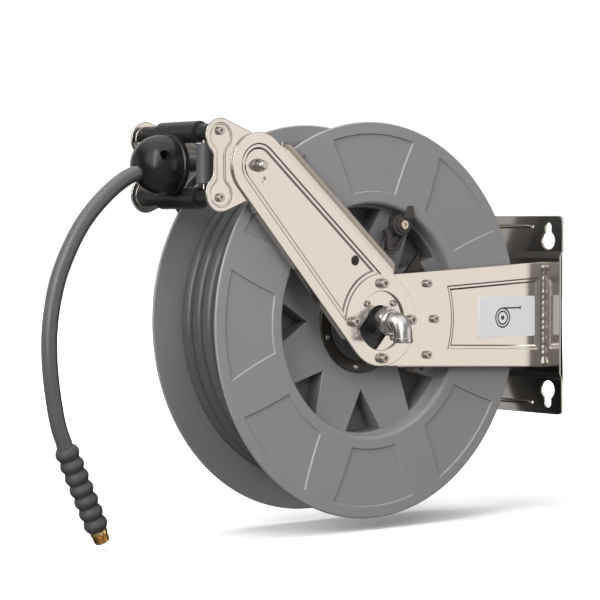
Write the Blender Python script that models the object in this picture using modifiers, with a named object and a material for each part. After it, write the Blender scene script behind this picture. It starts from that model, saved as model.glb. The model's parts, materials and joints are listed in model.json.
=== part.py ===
"""A wall-mounted, spring-rewound hose reel: steel fork and arm, moulded drum, roller guide, hose.

Metres, +Z up. The origin is the middle of the mounting plate's back face, which lies on the wall,
and +X points into the wall. The drum's axis is parallel to Y, and the fluid inlet is on the -Y side.
"""

from math import acos, asin, atan2, cos, degrees, hypot, pi, radians, sin

import bmesh
import bpy
from mathutils import Matrix, Vector

# Driving dimensions
AXIS_TO_WALL = 0.297
GAP = 0.0003  # left between pieces that touch
SHEET = 0.003  # thickness of every pressed plate
SIDES = {"inlet": -1, "spring": 1}  # the sign of Y on each side

# Drum, measured from its axis and from its middle plane
FLANGE_R = 0.250
FLANGE_FACE = 0.06575
FLANGE_SHEET = 0.004
WELL_R = 0.146
BARREL_WALL = 0.003
WEB_EDGE = 0.04575  # the well's floor beside its wall
WEB_HUB = 0.039  # the well's floor round the hub
HUB_R = 0.0675
HUB_BORE_R = 0.0243
RIM_FLAT_R = 0.2475  # where the flange's rim starts to round off
WINDOWS = 8
WINDOW_BASE_R = 0.1432
WINDOW_TIP_R = 0.088
WINDOW_HALF_ANGLE = 11.8
WOUND_R = 0.210
HOSE_R = 0.0095
AXLE_R = 0.012
BORE_R = 0.0065
BORE_DEPTH = 0.022  # how near the middle plane the axle's bore comes
AXLE_END = 0.08545  # on the inlet side
AXLE_NUT_END = 0.093  # on the spring side
DRUM_SEGMENTS = 42
PORT_ANGLE = 100  # where the hose goes in through the barrel
PORT_Y = -0.020

# Fork: the two plates that carry the axle
FORK_FACE = 0.07775
FORK_EYE_R = 0.057
FORK_EYE_ARC = (92.6, 267.8)
FORK_END = AXIS_TO_WALL - 0.0073
FORK_SLOT_R = 0.01925
FORK_SLOT_ANGLE = 228
FORK_RETURN = 0.005  # depth of the bent edges
FORK_TOP = ((-0.0026, 0.0570), (FORK_END, 0.0706))
FORK_BOTTOM = ((-0.0022, -0.0570), (FORK_END, -0.0680))
PANEL_DEPTH = 0.0012
PANEL_EDGE_R = 0.121
PANEL_ANGLES = (-17.0, 17.5)
PANEL_RIGHT = 0.278
PANEL_ENDS = (0.0456, -0.0420)  # Z of the panel's corners beside the mounting plate
LABEL = ((0.171, -0.027), (0.273, 0.026))

# Arms and the guide's pivot, from the drum's axis
ARM_FACE = FORK_FACE + GAP + SHEET
PIVOT = (-0.1946, 0.1915)
ARM_TIP_R = 0.040
ARM_HOLE_R = 0.0372
ARM_SPARE_HOLE = (-0.0423, 0.0760)
BOLT_CIRCLE_R = 0.047
BOLT_ANGLES = (0, 90, 180, 270)
ARM_WALL_DEPTH = 0.0077
ARM_WALL_TRIM = (0.021, 0.029)  # left plain at the edge's two ends
LIP_WIDTH = 0.017
LIP_DROP = 0.0075
LIP_TRIM = (0.0225, 0.011)

# Clearance holes
M6_HOLE_R = 0.0033
M8_HOLE_R = 0.0043
M10_HOLE_R = 0.0053

# Guide head, from the guide's pivot
LOBES = {"top": (-0.0564, 0.0400), "bottom": (-0.0564, -0.0390)}  # the tie rods' places
LOBE_R = 0.022
LOBE_OFFSET = {"top": (0.0010, -0.0065), "bottom": (0.0010, 0.0045)}  # lobe's middle from its rod
LOBE_WAIST_ANGLE = 228
PIVOT_LOBE_R = 0.034
WAIST = -0.0674
ROLLER_R = 0.01325
ROLLER_HALF = 0.039
ROD_R = 0.006
SPACER_R = 0.0095
SIDE_ROLLER_R = 0.010
SIDE_ROLLER_Y = 0.046
SIDE_ROLLER_ENDS = (0.1690, 0.2172)  # Z from the drum's axis
SIDE_PIN_R = 0.004

# Ball stop, from the drum's axis
BALL = (-0.283, 0.192)
BALL_R = 0.036
COLLAR_R = 0.037
COLLAR = (-0.273, -0.2646)
BALL_SCREW = (-0.297, 0.203)

# Hose route as X and Z from the drum's axis: off the winding, through the guide, down
RUN_ROUTE = (
    (-0.028, 0.2185), (-0.080, 0.2135), (-0.140, 0.2060), (-0.200, 0.1985),
    (-0.250, 0.1922), (-0.280, 0.1882), (-0.305, 0.1840),
)
RUN_SWAY = (0.0500, 0.0440, 0.0270, 0.0090, 0.0, 0.0, 0.0)  # Y at each of those points
TAIL_ROUTE = (
    (-0.3175, 0.1819), (-0.335, 0.1747), (-0.358, 0.1590), (-0.381, 0.1380), (-0.400, 0.1150),
    (-0.417, 0.0860), (-0.430, 0.0560), (-0.438, 0.0240), (-0.442, -0.0080), (-0.4415, -0.0430),
    (-0.437, -0.0800), (-0.430, -0.1140), (-0.4206, -0.1384),
)
GRIP_START = (-0.4201, -0.1395)
GRIP_END = (-0.3745, -0.2397)
GRIP_R = 0.0145
GRIP_VALLEY_R = 0.0118
GRIP_RINGS = 7
NIPPLE_R = 0.0107
NIPPLE_LENGTH = 0.016

# Ratchet
PAWL_R = 0.130  # from the drum's axis to the pawl's pivot
PAWL_ANGLE = 67.5
CAM_R = 0.1145
CAM_INNER_R = 0.066
CAM_ANGLES = (-38, 47)
CAM_TEETH = 4
CAM_RISE = 0.006
CAM_FACE = 0.0625
CAM_SHEET = 0.004
CAM_BOLT_R = 0.091
CAM_BOLT_ANGLES = (-30, 0, 30)

# Mounting plate, which lies on the wall
PLATE_HALF_WIDTH = 0.106
PLATE_HALF_HEIGHT = 0.132
PLATE_RAISE = 0.004
JOGGLE = (0.078, 0.084)
KEYHOLE_Y = 0.08035
KEYHOLE_Z = 0.0995
KEYHOLE_R = 0.01225
KEYHOLE_SLOT_R = 0.006
KEYHOLE_SLOT_Z = 0.1175


# Small geometry helpers

def polar(radius, angle, centre=(0.0, 0.0)):
    return (centre[0] + radius * cos(radians(angle)), centre[1] + radius * sin(radians(angle)))


def arc(centre, radius, start, end, steps):
    return [polar(radius, start + (end - start) * i / steps, centre) for i in range(steps + 1)]


def circle(centre, radius, sides=16):
    return arc(centre, radius, 0, 360 - 360 / sides, sides - 1)


def tangent_hull(first, first_r, second, second_r, steps):
    """The outline round two circles, anticlockwise, and the angles of its two tangent points."""
    across = Vector(second) - Vector(first)
    heading = degrees(atan2(across.y, across.x))
    spread = degrees(acos((first_r - second_r) / across.length))
    outline = arc(first, first_r, heading + spread, heading + 360 - spread, steps)
    outline += arc(second, second_r, heading - spread, heading + spread, steps)
    return outline, heading - spread, heading + spread


def smooth_route(points, spacing):
    """Evenly spaced points on the Catmull-Rom curve through a route's own points."""
    known = [Vector(p) for p in points]
    known = [2 * known[0] - known[1], *known, 2 * known[-1] - known[-2]]
    fine = []
    for a, b, c, d in zip(known, known[1:], known[2:], known[3:]):
        for i in range(24):
            t = i / 24
            fine.append(
                0.5 * (2 * b + (c - a) * t + (2 * a - 5 * b + 4 * c - d) * t**2
                       + (3 * b - a - 3 * c + d) * t**3)
            )
    fine.append(known[-2])
    lengths = [0.0]
    for p, q in zip(fine, fine[1:]):
        lengths.append(lengths[-1] + (q - p).length)
    count = max(2, round(lengths[-1] / spacing))
    route, at = [], 0
    for i in range(count + 1):
        wanted = lengths[-1] * i / count
        while at < len(fine) - 2 and lengths[at + 1] < wanted:
            at += 1
        part = (wanted - lengths[at]) / (lengths[at + 1] - lengths[at])
        route.append(fine[at].lerp(fine[at + 1], min(part, 1.0)))
    return route


def area(outline):
    """Twice the signed area, positive where the outline runs anticlockwise."""
    return sum(a[0] * b[1] - b[0] * a[1] for a, b in zip(outline, [*outline[1:], outline[0]]))


# Blender helpers

def clear_scene():
    for obj in list(bpy.data.objects):
        bpy.data.objects.remove(obj, do_unlink=True)


def new_collection(name):
    collection = bpy.data.collections.new(name)
    bpy.context.scene.collection.children.link(collection)
    return collection


def new_material(name, colour, roughness, metallic=0.0):
    made = bpy.data.materials.new(name)
    made.use_nodes = True
    shader = made.node_tree.nodes["Principled BSDF"]
    shader.inputs["Base Color"].default_value = (*colour, 1.0)
    shader.inputs["Roughness"].default_value = roughness
    shader.inputs["Metallic"].default_value = metallic
    return made


MATERIALS = {
    "stainless": ((0.68, 0.64, 0.60), 0.25, 1.0),
    "nickel": ((0.72, 0.70, 0.67), 0.15, 1.0),
    "grey_plastic": ((0.23, 0.23, 0.23), 0.45),
    "black_plastic": ((0.02, 0.02, 0.02), 0.40),
    "dark_steel": ((0.05, 0.045, 0.04), 0.35, 1.0),
    "hose_rubber": ((0.10, 0.10, 0.105), 0.50),
    "brass": ((0.72, 0.50, 0.20), 0.25, 1.0),
    "spring_steel": ((0.25, 0.25, 0.27), 0.30, 1.0),
    "label_film": ((0.80, 0.81, 0.83), 0.40),
}


def own_material(obj, kind):
    """Each piece has a material of its own, made from one of the kinds above."""
    obj.data.materials.clear()
    obj.data.materials.append(new_material(f"{obj.name}_{kind}", *MATERIALS[kind]))


def place(obj, parent, location=(0.0, 0.0, 0.0)):
    obj.parent = parent
    obj.location = location
    return obj


def add_mesh(name, vertices, edges, faces=()):
    mesh = bpy.data.meshes.new(name)
    mesh.from_pydata(vertices, edges, faces)
    obj = bpy.data.objects.new(name, mesh)
    PARTS.objects.link(obj)
    return obj


def turned(name, profile, segments, axis="Y", closed=True):
    """A solid turned about an axis from (radius, height) points, closed or ending on the axis."""
    profile = list(profile)
    runs_wrong_way = area(profile) > 0 if closed else profile[0][1] < profile[-1][1]
    if runs_wrong_way:
        profile.reverse()
    count = len(profile)
    edges = [(i, (i + 1) % count) for i in range(count if closed else count - 1)]
    obj = add_mesh(name, [(r, 0.0, h) for r, h in profile], edges)
    screw = obj.modifiers.new("turn", "SCREW")
    screw.steps = segments
    screw.render_steps = segments
    screw.use_merge_vertices = True
    screw.merge_threshold = 0.00001
    screw.use_smooth_shade = False
    obj.rotation_euler = {"X": (0, pi / 2, 0), "Y": (-pi / 2, 0, 0), "Z": (0, 0, 0)}[axis]
    return obj


def curve_object(name, outlines, cyclic, dimensions):
    data = bpy.data.curves.new(name, "CURVE")
    data.dimensions = dimensions
    for outline in outlines:
        spline = data.splines.new("POLY")
        spline.points.add(len(outline) - 1)
        for point, place_at in zip(spline.points, outline):
            point.co = (*place_at, *([0.0] * (3 - len(place_at))), 1.0)
        spline.use_cyclic_u = cyclic
    obj = bpy.data.objects.new(name, data)
    PARTS.objects.link(obj)
    return obj


def as_mesh(curve):
    """The same shape as a welded mesh, which can be cut and joined."""
    bpy.context.view_layer.update()
    graph = bpy.context.evaluated_depsgraph_get()
    mesh = bpy.data.meshes.new_from_object(curve.evaluated_get(graph))
    name, matrix = curve.name, curve.matrix_world.copy()
    bpy.data.objects.remove(curve, do_unlink=True)
    work = bmesh.new()
    work.from_mesh(mesh)
    bmesh.ops.remove_doubles(work, verts=work.verts, dist=0.000001)
    bmesh.ops.recalc_face_normals(work, faces=work.faces)
    work.to_mesh(mesh)
    work.free()
    mesh.name = name
    obj = bpy.data.objects.new(name, mesh)
    obj.matrix_world = matrix
    PARTS.objects.link(obj)
    return obj


def flat(name, outlines, low, high, plane="XZ"):
    """A flat piece from an outline and its holes, between two heights across its plane."""
    obj = curve_object(name, outlines, True, "2D")
    obj.data.fill_mode = "BOTH"
    obj.data.extrude = abs(high - low) / 2
    middle = (low + high) / 2
    if plane == "XZ":
        obj.rotation_euler = (pi / 2, 0, 0)
        obj.location = (0.0, middle, 0.0)
    else:
        obj.rotation_euler = (pi / 2, 0, pi / 2)
        obj.location = (middle, 0.0, 0.0)
    return as_mesh(obj)


def tube(name, points, radius, resolution=2):
    obj = curve_object(name, [points], False, "3D")
    obj.data.bevel_depth = radius
    obj.data.bevel_resolution = resolution
    obj.data.use_fill_caps = True
    return as_mesh(obj)


def block(name, low, high):
    work = bmesh.new()
    bmesh.ops.create_cube(work, size=1.0)
    size = Vector(high) - Vector(low)
    bmesh.ops.scale(work, vec=size, verts=work.verts)
    bmesh.ops.translate(work, vec=(Vector(low) + Vector(high)) / 2, verts=work.verts)
    mesh = bpy.data.meshes.new(name)
    work.to_mesh(mesh)
    work.free()
    obj = bpy.data.objects.new(name, mesh)
    PARTS.objects.link(obj)
    return obj


def rod(name, start, end, radius, sides=24):
    work = bmesh.new()
    along = Vector(end) - Vector(start)
    turn = along.to_track_quat("Z", "Y").to_matrix().to_4x4()
    bmesh.ops.create_cone(
        work, cap_ends=True, segments=sides, radius1=radius, radius2=radius, depth=along.length,
        matrix=Matrix.Translation((Vector(start) + Vector(end)) / 2) @ turn,
    )
    mesh = bpy.data.meshes.new(name)
    work.to_mesh(mesh)
    work.free()
    obj = bpy.data.objects.new(name, mesh)
    PARTS.objects.link(obj)
    return obj


def combine(obj, helper, operation, solver="EXACT"):
    """Cuts a helper from an object, joins it on, or keeps only what both share."""
    PARTS.objects.unlink(helper)
    CUTTERS.objects.link(helper)
    helper.hide_render = True
    helper.display_type = "WIRE"
    helper.name = f"{obj.name}.{operation.lower()}"
    modifier = obj.modifiers.new(helper.name, "BOOLEAN")
    modifier.operation = operation
    modifier.solver = solver
    modifier.object = helper
    return helper


def cut(obj, helper):
    return combine(obj, helper, "DIFFERENCE")


def join(obj, helper):
    return combine(obj, helper, "UNION")


def add_empty(name, parent, location):
    obj = bpy.data.objects.new(name, None)
    PARTS.objects.link(obj)
    return place(obj, parent, location)


def finish(obj, kind, parent=None):
    """Gives a piece its material, hangs it and its helpers on the reel's axis, and shades it."""
    own_material(obj, kind)
    parent = parent or REEL_AXIS
    offset = Matrix.Translation(Vector(parent.matrix_world.translation) - AXIS_POINT)
    for piece in [obj, *[m.object for m in obj.modifiers if m.type == "BOOLEAN"]]:
        piece.parent = parent
        piece.matrix_parent_inverse = offset.inverted()
    if obj.data.polygons:
        obj.data.shade_smooth()
        obj.data.set_sharp_from_angle(angle=radians(35))
    return obj


# Mounting plate

def plate_section():
    """The plate's profile in X and Z, from the drum's axis: a raised middle between two wings."""
    raised, wing = AXIS_TO_WALL - PLATE_RAISE, AXIS_TO_WALL
    half = [(wing, PLATE_HALF_HEIGHT), (wing, JOGGLE[1] + 0.001), (raised, JOGGLE[0] + 0.001)]
    back = half + [(x, -z) for x, z in reversed(half)]
    inner = [(wing, PLATE_HALF_HEIGHT), (wing, JOGGLE[1]), (raised, JOGGLE[0])]
    front = [(x - SHEET, z) for x, z in inner] + [(x - SHEET, -z) for x, z in reversed(inner)]
    return back + front[::-1]


def keyhole(y, up):
    """A keyhole's outline in Y and Z: a round hole with a slot that points away from the middle."""
    mouth = degrees(asin(KEYHOLE_SLOT_R / KEYHOLE_R))
    outline = arc((y, KEYHOLE_Z), KEYHOLE_R, 90 + mouth, 450 - mouth, 14)
    outline += arc((y, KEYHOLE_SLOT_Z), KEYHOLE_SLOT_R, 0, 180, 6)
    return [(py, up * pz) for py, pz in outline]


def make_wall_plate():
    plate = flat("wall_plate", [plate_section()], -PLATE_HALF_WIDTH, PLATE_HALF_WIDTH)
    holes = [keyhole(y, up) for y in (-KEYHOLE_Y, KEYHOLE_Y) for up in (-1, 1)]
    cut(plate, flat("keyholes", holes, AXIS_TO_WALL - 0.010, AXIS_TO_WALL + 0.010, plane="YZ"))
    finish(plate, "stainless")


# Fork

def fork_outline():
    """The fork plate's outline: an eye with an open slot, widening towards the mounting plate."""
    notch = degrees(asin(FORK_SLOT_R / FORK_EYE_R))
    outline = arc((0, 0), FORK_EYE_R, FORK_EYE_ARC[0], FORK_SLOT_ANGLE - notch, 20)
    outline += arc((0, 0), FORK_SLOT_R, FORK_SLOT_ANGLE - 90, FORK_SLOT_ANGLE - 270, 12)
    outline += arc((0, 0), FORK_EYE_R, FORK_SLOT_ANGLE + notch, FORK_EYE_ARC[1], 4)
    return outline + [FORK_BOTTOM[1], FORK_TOP[1]]


def panel_outline():
    """The pressed panel's outline, with an arc about the drum's axis on its near edge."""
    near = arc((0, 0), PANEL_EDGE_R, *PANEL_ANGLES, 6)
    return near + [(PANEL_RIGHT, z) for z in PANEL_ENDS]


def edge_strip(line, start, end, inward):
    """A strip one sheet thick along a plate's edge, between two distances in X."""
    (x0, z0), (x1, z1) = line
    slope = (z1 - z0) / (x1 - x0)
    ends = [(x, z0 + slope * (x - x0)) for x in (start, end)]
    return [ends[0], ends[1], (ends[1][0], ends[1][1] + inward), (ends[0][0], ends[0][1] + inward)]


def across(side, *distances):
    """Distances from the middle plane turned into Y on one side."""
    return [SIDES[side] * d for d in distances]


def make_fork_plate(side):
    holes = [circle(polar(BOLT_CIRCLE_R, a), M8_HOLE_R, 10) for a in BOLT_ANGLES]
    if side == "inlet":
        holes += [circle(polar(CAM_BOLT_R, a), M6_HOLE_R, 12) for a in CAM_BOLT_ANGLES]
    plate = flat(f"fork_plate_{side}", [fork_outline(), *holes],
                 *across(side, FORK_FACE - SHEET, FORK_FACE))
    depth = across(side, FORK_FACE - SHEET - FORK_RETURN, FORK_FACE - SHEET / 2)
    end = FORK_END - GAP
    join(plate, flat("top_return", [edge_strip(FORK_TOP, 0.150, end, -SHEET)], *depth))
    join(plate, flat("bottom_return", [edge_strip(FORK_BOTTOM, 0.030, end, SHEET)], *depth))
    recess = across(side, FORK_FACE - PANEL_DEPTH, FORK_FACE + SHEET)
    cut(plate, flat("panel", [panel_outline()], *recess))
    finish(plate, "stainless")


def make_label():
    low, high = across("inlet", FORK_FACE - PANEL_DEPTH + GAP, FORK_FACE - GAP)
    (left, bottom), (right, top) = LABEL
    outline = [(left, bottom), (right, bottom), (right, top), (left, top)]
    finish(flat("label_plate", [outline], low, high), "label_film")


# Arms

def arm_edges():
    """The arm's outline, and each straight edge as its start, direction and outward normal."""
    outline, right, left = tangent_hull((0, 0), FORK_EYE_R, PIVOT, ARM_TIP_R, 14)
    edges = {}
    for name, angle in (("right", right), ("left", left)):
        start = Vector(polar(FORK_EYE_R, angle))
        end = Vector(polar(ARM_TIP_R, angle, PIVOT))
        edges[name] = (start, (end - start).normalized(), Vector(polar(1, angle)), (end - start).length)
    return outline, edges


def make_lip(side, edge):
    """The sloping lip along the arm's upper edge: a bent section extruded along that edge."""
    start, heading, normal, length = edge
    sign = SIDES[side]
    section = [
        (-0.004, ARM_FACE - 0.0025), (-0.004, ARM_FACE - 0.0006), (0.0007, ARM_FACE - 0.0006),
        (LIP_WIDTH, ARM_FACE - LIP_DROP), (LIP_WIDTH, ARM_FACE - LIP_DROP - SHEET),
        (0.0007, ARM_FACE - 0.0025),
    ]
    section = [(across_edge, sign * y) for across_edge, y in section]
    lip = curve_object("lip", [section], True, "2D")
    lip.data.fill_mode = "BOTH"
    begin, end = LIP_TRIM[0], length - LIP_TRIM[1]
    lip.data.extrude = (end - begin) / 2
    middle = start + heading * (begin + end) / 2
    columns = [(normal.x, 0, normal.y), (0, 1, 0), (heading.x, 0, heading.y)]
    lip.matrix_world = Matrix.Translation((middle.x, 0, middle.y)) @ Matrix(columns).transposed().to_4x4()
    return as_mesh(lip)


def make_arm(side):
    outline, edges = arm_edges()
    holes = [circle((0, 0), ARM_HOLE_R, 28), circle(PIVOT, M10_HOLE_R, 12)]
    holes += [circle(polar(BOLT_CIRCLE_R, a), M8_HOLE_R, 10) for a in BOLT_ANGLES]
    holes += [circle(ARM_SPARE_HOLE, 0.006, 12)]
    arm = flat(f"guide_arm_{side}", [outline, *holes], *across(side, ARM_FACE - SHEET, ARM_FACE))
    start, heading, normal, length = edges["left"]
    ends = [start + heading * s for s in (ARM_WALL_TRIM[0], length - ARM_WALL_TRIM[1])]
    inner = [p - normal * SHEET for p in reversed(ends)]
    wall = [tuple(p) for p in [*ends, *inner]]
    low = ARM_FACE - SHEET - ARM_WALL_DEPTH
    join(arm, flat("wall", [wall], *across(side, low, ARM_FACE - SHEET / 2)))
    combine(arm, make_lip(side, edges["right"]), "UNION", solver="MANIFOLD")
    finish(arm, "stainless")


# Bolts and nuts

def cap_bolt(name, centre, side, seat, head_r, head, shank_r, length, kind="stainless", parent=None):
    """A cap-head bolt whose head stands on a seat and whose shank runs inwards from it."""
    profile = [
        (0.0, seat + head), (head_r, seat + head), (head_r, seat), (shank_r, seat),
        (shank_r, seat - length), (0.0, seat - length),
    ]
    profile = [(r, SIDES[side] * h) for r, h in profile]
    bolt = turned(name, profile, 10, closed=False)
    bolt.location = (centre[0], 0.0, centre[1])
    finish(bolt, kind, parent)


def hexagon(across_flats):
    return arc((0, 0), across_flats / 2 / cos(pi / 6), 0, 300, 5)


def moved(outline, centre):
    return [(x + centre[0], z + centre[1]) for x, z in outline]


def make_fasteners():
    for side in SIDES:
        for number, angle in enumerate(BOLT_ANGLES, 1):
            cap_bolt(f"arm_bolt_{side}_{number}", polar(BOLT_CIRCLE_R, angle), side,
                     ARM_FACE + GAP, 0.0065, 0.008, 0.004, 0.013)
        pivot_profile = [(0.0, 0.0695), (0.008, 0.0695), (0.008, FORK_FACE - SHEET - GAP),
                         (0.005, FORK_FACE - SHEET - GAP), (0.005, 0.0925), (0.0, 0.0925)]
        bolt = turned(f"guide_pivot_bolt_{side}", [(r, SIDES[side] * h) for r, h in pivot_profile],
                      16, closed=False)
        bolt.location = (PIVOT[0], 0.0, PIVOT[1])
        finish(bolt, "stainless")
        nut = [moved(hexagon(0.015), PIVOT), circle(PIVOT, M10_HOLE_R, 16)]
        finish(flat(f"guide_pivot_nut_{side}", nut,
                    *across(side, ARM_FACE + GAP, ARM_FACE + GAP + 0.0065)), "stainless")
    for number, angle in enumerate(CAM_BOLT_ANGLES, 1):
        cap_bolt(f"cam_bolt_{number}", polar(CAM_BOLT_R, angle), "inlet",
                 FORK_FACE + GAP, 0.005, 0.006, 0.003, 0.0125)


# Axle, its retainers, and the inlet

def make_axle():
    profile = [
        (0.0, -BORE_DEPTH), (BORE_R, -BORE_DEPTH), (BORE_R, -AXLE_END), (AXLE_R, -AXLE_END),
        (AXLE_R, AXLE_NUT_END), (0.0, AXLE_NUT_END),
    ]
    finish(turned("drum_axle", profile, 24, closed=False), "nickel")
    for side in SIDES:
        low, high = across(side, FORK_FACE - SHEET - GAP - 0.006, FORK_FACE - SHEET - GAP)
        ring = [(AXLE_R + GAP, low), (0.038, low), (0.038, high), (AXLE_R + GAP, high)]
        finish(turned(f"axle_retainer_{side}", ring, 24), "black_plastic")
    nut = [hexagon(0.046), circle((0, 0), AXLE_R + GAP, 24)]
    finish(flat("axle_nut", nut, FORK_FACE + GAP, FORK_FACE + GAP + 0.010), "stainless")


def make_inlet():
    nut_start, nut_end = -0.08575, -0.10375
    across_flats, stem_r, elbow_r = 0.033, 0.0087, 0.0125
    nut = [hexagon(across_flats), circle((0, 0), stem_r + 0.0005, 24)]
    finish(flat("inlet_union_nut", nut, nut_start, nut_end), "nickel")
    leg_y, bend_r, outlet = -0.1214, 0.0135, -0.026
    bend = [(0.0, leg_y + bend_r - bend_r * sin(radians(a)), bend_r * cos(radians(a)) - bend_r)
            for a in range(0, 91, 18)]
    body_start = nut_end - GAP
    elbow = tube("inlet_elbow", [(0, body_start, 0), *bend, (0, leg_y, outlet)], elbow_r, 3)
    join(elbow, rod("stem", (0, nut_start - GAP, 0), (0, body_start - 0.002, 0), stem_r, 16))
    cut(elbow, tube("bore", [(0, nut_start + 0.002, 0), *bend, (0, leg_y, outlet - 0.004)], BORE_R, 3))
    finish(elbow, "nickel")


# Drum

def flange_profile():
    barrel_r = WELL_R + BARREL_WALL
    inner = FLANGE_FACE - FLANGE_SHEET
    spigot = WELL_R - GAP
    return [
        (RIM_FLAT_R, FLANGE_FACE), (0.1490, FLANGE_FACE), (WELL_R, FLANGE_FACE - 0.003),
        (WELL_R, WEB_EDGE + 0.003), (0.1435, WEB_EDGE), (HUB_R, WEB_HUB), (HUB_BORE_R, WEB_HUB),
        (HUB_BORE_R, WEB_HUB - SHEET), (HUB_R, WEB_HUB - SHEET), (spigot, WEB_EDGE - 0.004),
        (spigot, WEB_EDGE), (barrel_r, WEB_EDGE), (barrel_r, inner), (RIM_FLAT_R, inner),
        (FLANGE_R, inner + 0.002),
    ]


def window(angle):
    return [
        polar(WINDOW_TIP_R, angle), polar(WINDOW_BASE_R, angle + WINDOW_HALF_ANGLE),
        polar(WINDOW_BASE_R, angle - WINDOW_HALF_ANGLE),
    ]


def make_flange(side):
    sign = SIDES[side]
    flange = turned(f"drum_flange_{side}", [(r, sign * h) for r, h in flange_profile()], DRUM_SEGMENTS)
    openings = [window(360 * i / WINDOWS) for i in range(WINDOWS)]
    if side == "inlet":
        openings.append(circle(polar(PAWL_R, PAWL_ANGLE), M8_HOLE_R, 12))
    cut(flange, flat("windows", openings, *across(side, 0.030, 0.055)))
    finish(flange, "grey_plastic")


def make_hub(side):
    sign = SIDES[side]
    face = WEB_HUB + GAP
    ring = [(0.052, face), (0.067, face), (0.067, face + 0.003), (0.052, face + 0.003)]
    finish(turned(f"hub_ring_{side}", [(r, sign * h) for r, h in ring], 28), "black_plastic")
    bush = [
        (AXLE_R + GAP, 0.0325), (HUB_BORE_R - GAP, 0.0325), (HUB_BORE_R - GAP, face), (0.0510, face),
        (0.0510, face + 0.002), (0.020, face + 0.002), (0.020, 0.046), (AXLE_R + GAP, 0.046),
    ]
    finish(turned(f"hub_bush_{side}", [(r, sign * h) for r, h in bush], 24), "black_plastic")


def through_port(radius):
    """A point on the line from the axle through the barrel's port."""
    x, z = polar(radius, PORT_ANGLE)
    return (x, PORT_Y, z)


def make_barrel():
    half = WEB_EDGE - GAP
    ring = [(WELL_R, -half), (WELL_R + BARREL_WALL, -half), (WELL_R + BARREL_WALL, half), (WELL_R, half)]
    barrel = turned("drum_barrel", ring, DRUM_SEGMENTS)
    cut(barrel, rod("port", through_port(0.130), through_port(0.160), 0.0105, 16))
    finish(barrel, "grey_plastic")
    swivel = turned("swivel_joint", [(AXLE_R + GAP, -0.028), (0.022, -0.028), (0.022, -0.008),
                                     (AXLE_R + GAP, -0.008)], 24)
    join(swivel, rod("outlet", through_port(0.018), through_port(0.148), 0.007, 12))
    finish(swivel, "brass")
    wound = FLANGE_FACE - FLANGE_SHEET - GAP
    low_r = WELL_R + BARREL_WALL + GAP
    winding = [(low_r, -wound), (WOUND_R, -wound), (WOUND_R, wound), (low_r, wound)]
    finish(turned("hose_winding", winding, DRUM_SEGMENTS), "hose_rubber")


def make_spring_motor():
    """The flat power spring between the axle and the case that turns with the drum."""
    outer, wall, start, end = 0.118, 0.002, 0.002, 0.033
    case = [(0.014, start), (outer, start), (outer, end), (outer - wall, end),
            (outer - wall, start + wall), (0.014, start + wall)]
    finish(turned("spring_case", case, 28), "dark_steel")
    lid = [(0.0247, end + GAP), (outer, end + GAP), (outer, end + GAP + wall), (0.0247, end + GAP + wall)]
    finish(turned("spring_case_lid", lid, 28), "dark_steel")
    turns, steps, thick = 5, 14, 0.0012
    inner_r, outer_r = 0.0135, 0.1135

    def strip(offset):
        count = turns * steps
        return [
            polar(inner_r + (outer_r - inner_r) * i / count + offset, 360 * i / steps)
            for i in range(count + 1)
        ]

    outline = strip(thick) + strip(0.0)[::-1]
    finish(flat("power_spring", [outline], 0.0055, 0.0315), "spring_steel")


# Ratchet: a toothed sector on the fork and a sprung pawl on the drum

def cam_outline():
    """A sector whose rim steps out to a hooked tooth again and again."""
    low, high = CAM_ANGLES
    step = (high - low) / CAM_TEETH
    outline = []
    for i in range(CAM_TEETH):
        start = low + i * step
        outline += arc((0, 0), CAM_R - CAM_RISE, start, start + step * 0.7, 3)
        outline.append(polar(CAM_R, start + step))
    return outline + arc((0, 0), CAM_INNER_R, high, low, 8)


def make_cam():
    holes = [circle(polar(CAM_BOLT_R, a), M6_HOLE_R, 12) for a in CAM_BOLT_ANGLES]
    cam = flat("ratchet_cam", [cam_outline(), *holes], *across("inlet", CAM_FACE - CAM_SHEET, CAM_FACE))
    for angle in CAM_BOLT_ANGLES:
        centre = polar(CAM_BOLT_R, angle)
        boss = [circle(centre, 0.008, 16), circle(centre, M6_HOLE_R, 12)]
        join(cam, flat("boss", boss, *across("inlet", CAM_FACE - 0.001, FORK_FACE - SHEET - GAP)))
    finish(cam, "dark_steel")


def make_pawl():
    pivot = polar(PAWL_R, PAWL_ANGLE)
    pawl_axis = add_empty("pawl_axis", REEL_AXIS, (pivot[0], 0.0, pivot[1]))
    bpy.context.view_layer.update()
    low, top, tail_top = 0.051, 0.0664, 0.0575
    boss = [circle(pivot, 0.0145, 24), circle(pivot, M8_HOLE_R, 16)]
    pawl = flat("ratchet_pawl", boss, *across("inlet", low, top))
    tab = moved([(-0.0010, 0.0085), (0.0115, 0.0065), (0.0165, 0.0135), (0.0135, 0.0245),
                 (0.0055, 0.0240)], pivot)
    tab_low, tab_top = FLANGE_FACE + GAP + 0.0001, 0.069
    join(pawl, flat("tab", [tab], *across("inlet", tab_low, tab_top)))
    tail = moved([(-0.012, -0.004), (-0.0235, -0.0075), (-0.0205, -0.0130), (-0.0200, -0.0320),
                  (0.0000, -0.0330), (0.0125, -0.0105), (0.0030, -0.0040)], pivot)
    join(pawl, flat("tail", [tail], *across("inlet", low, tail_top)))
    finish(pawl, "black_plastic", pawl_axis)
    cap_bolt("pawl_screw", pivot, "inlet", top + GAP, 0.006, 0.0026, 0.004, 0.027, "brass")
    coil_r, wire_r, turns, steps = 0.0075, 0.0004, 2, 9
    coil = [
        (pivot[0] + coil_r * cos(2 * pi * i / steps), -0.0480 - 0.0019 * i / (turns * steps),
         pivot[1] + coil_r * sin(2 * pi * i / steps))
        for i in range(turns * steps + 1)
    ]
    finish(tube("pawl_spring", coil, wire_r), "spring_steel")


# Guide head

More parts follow.
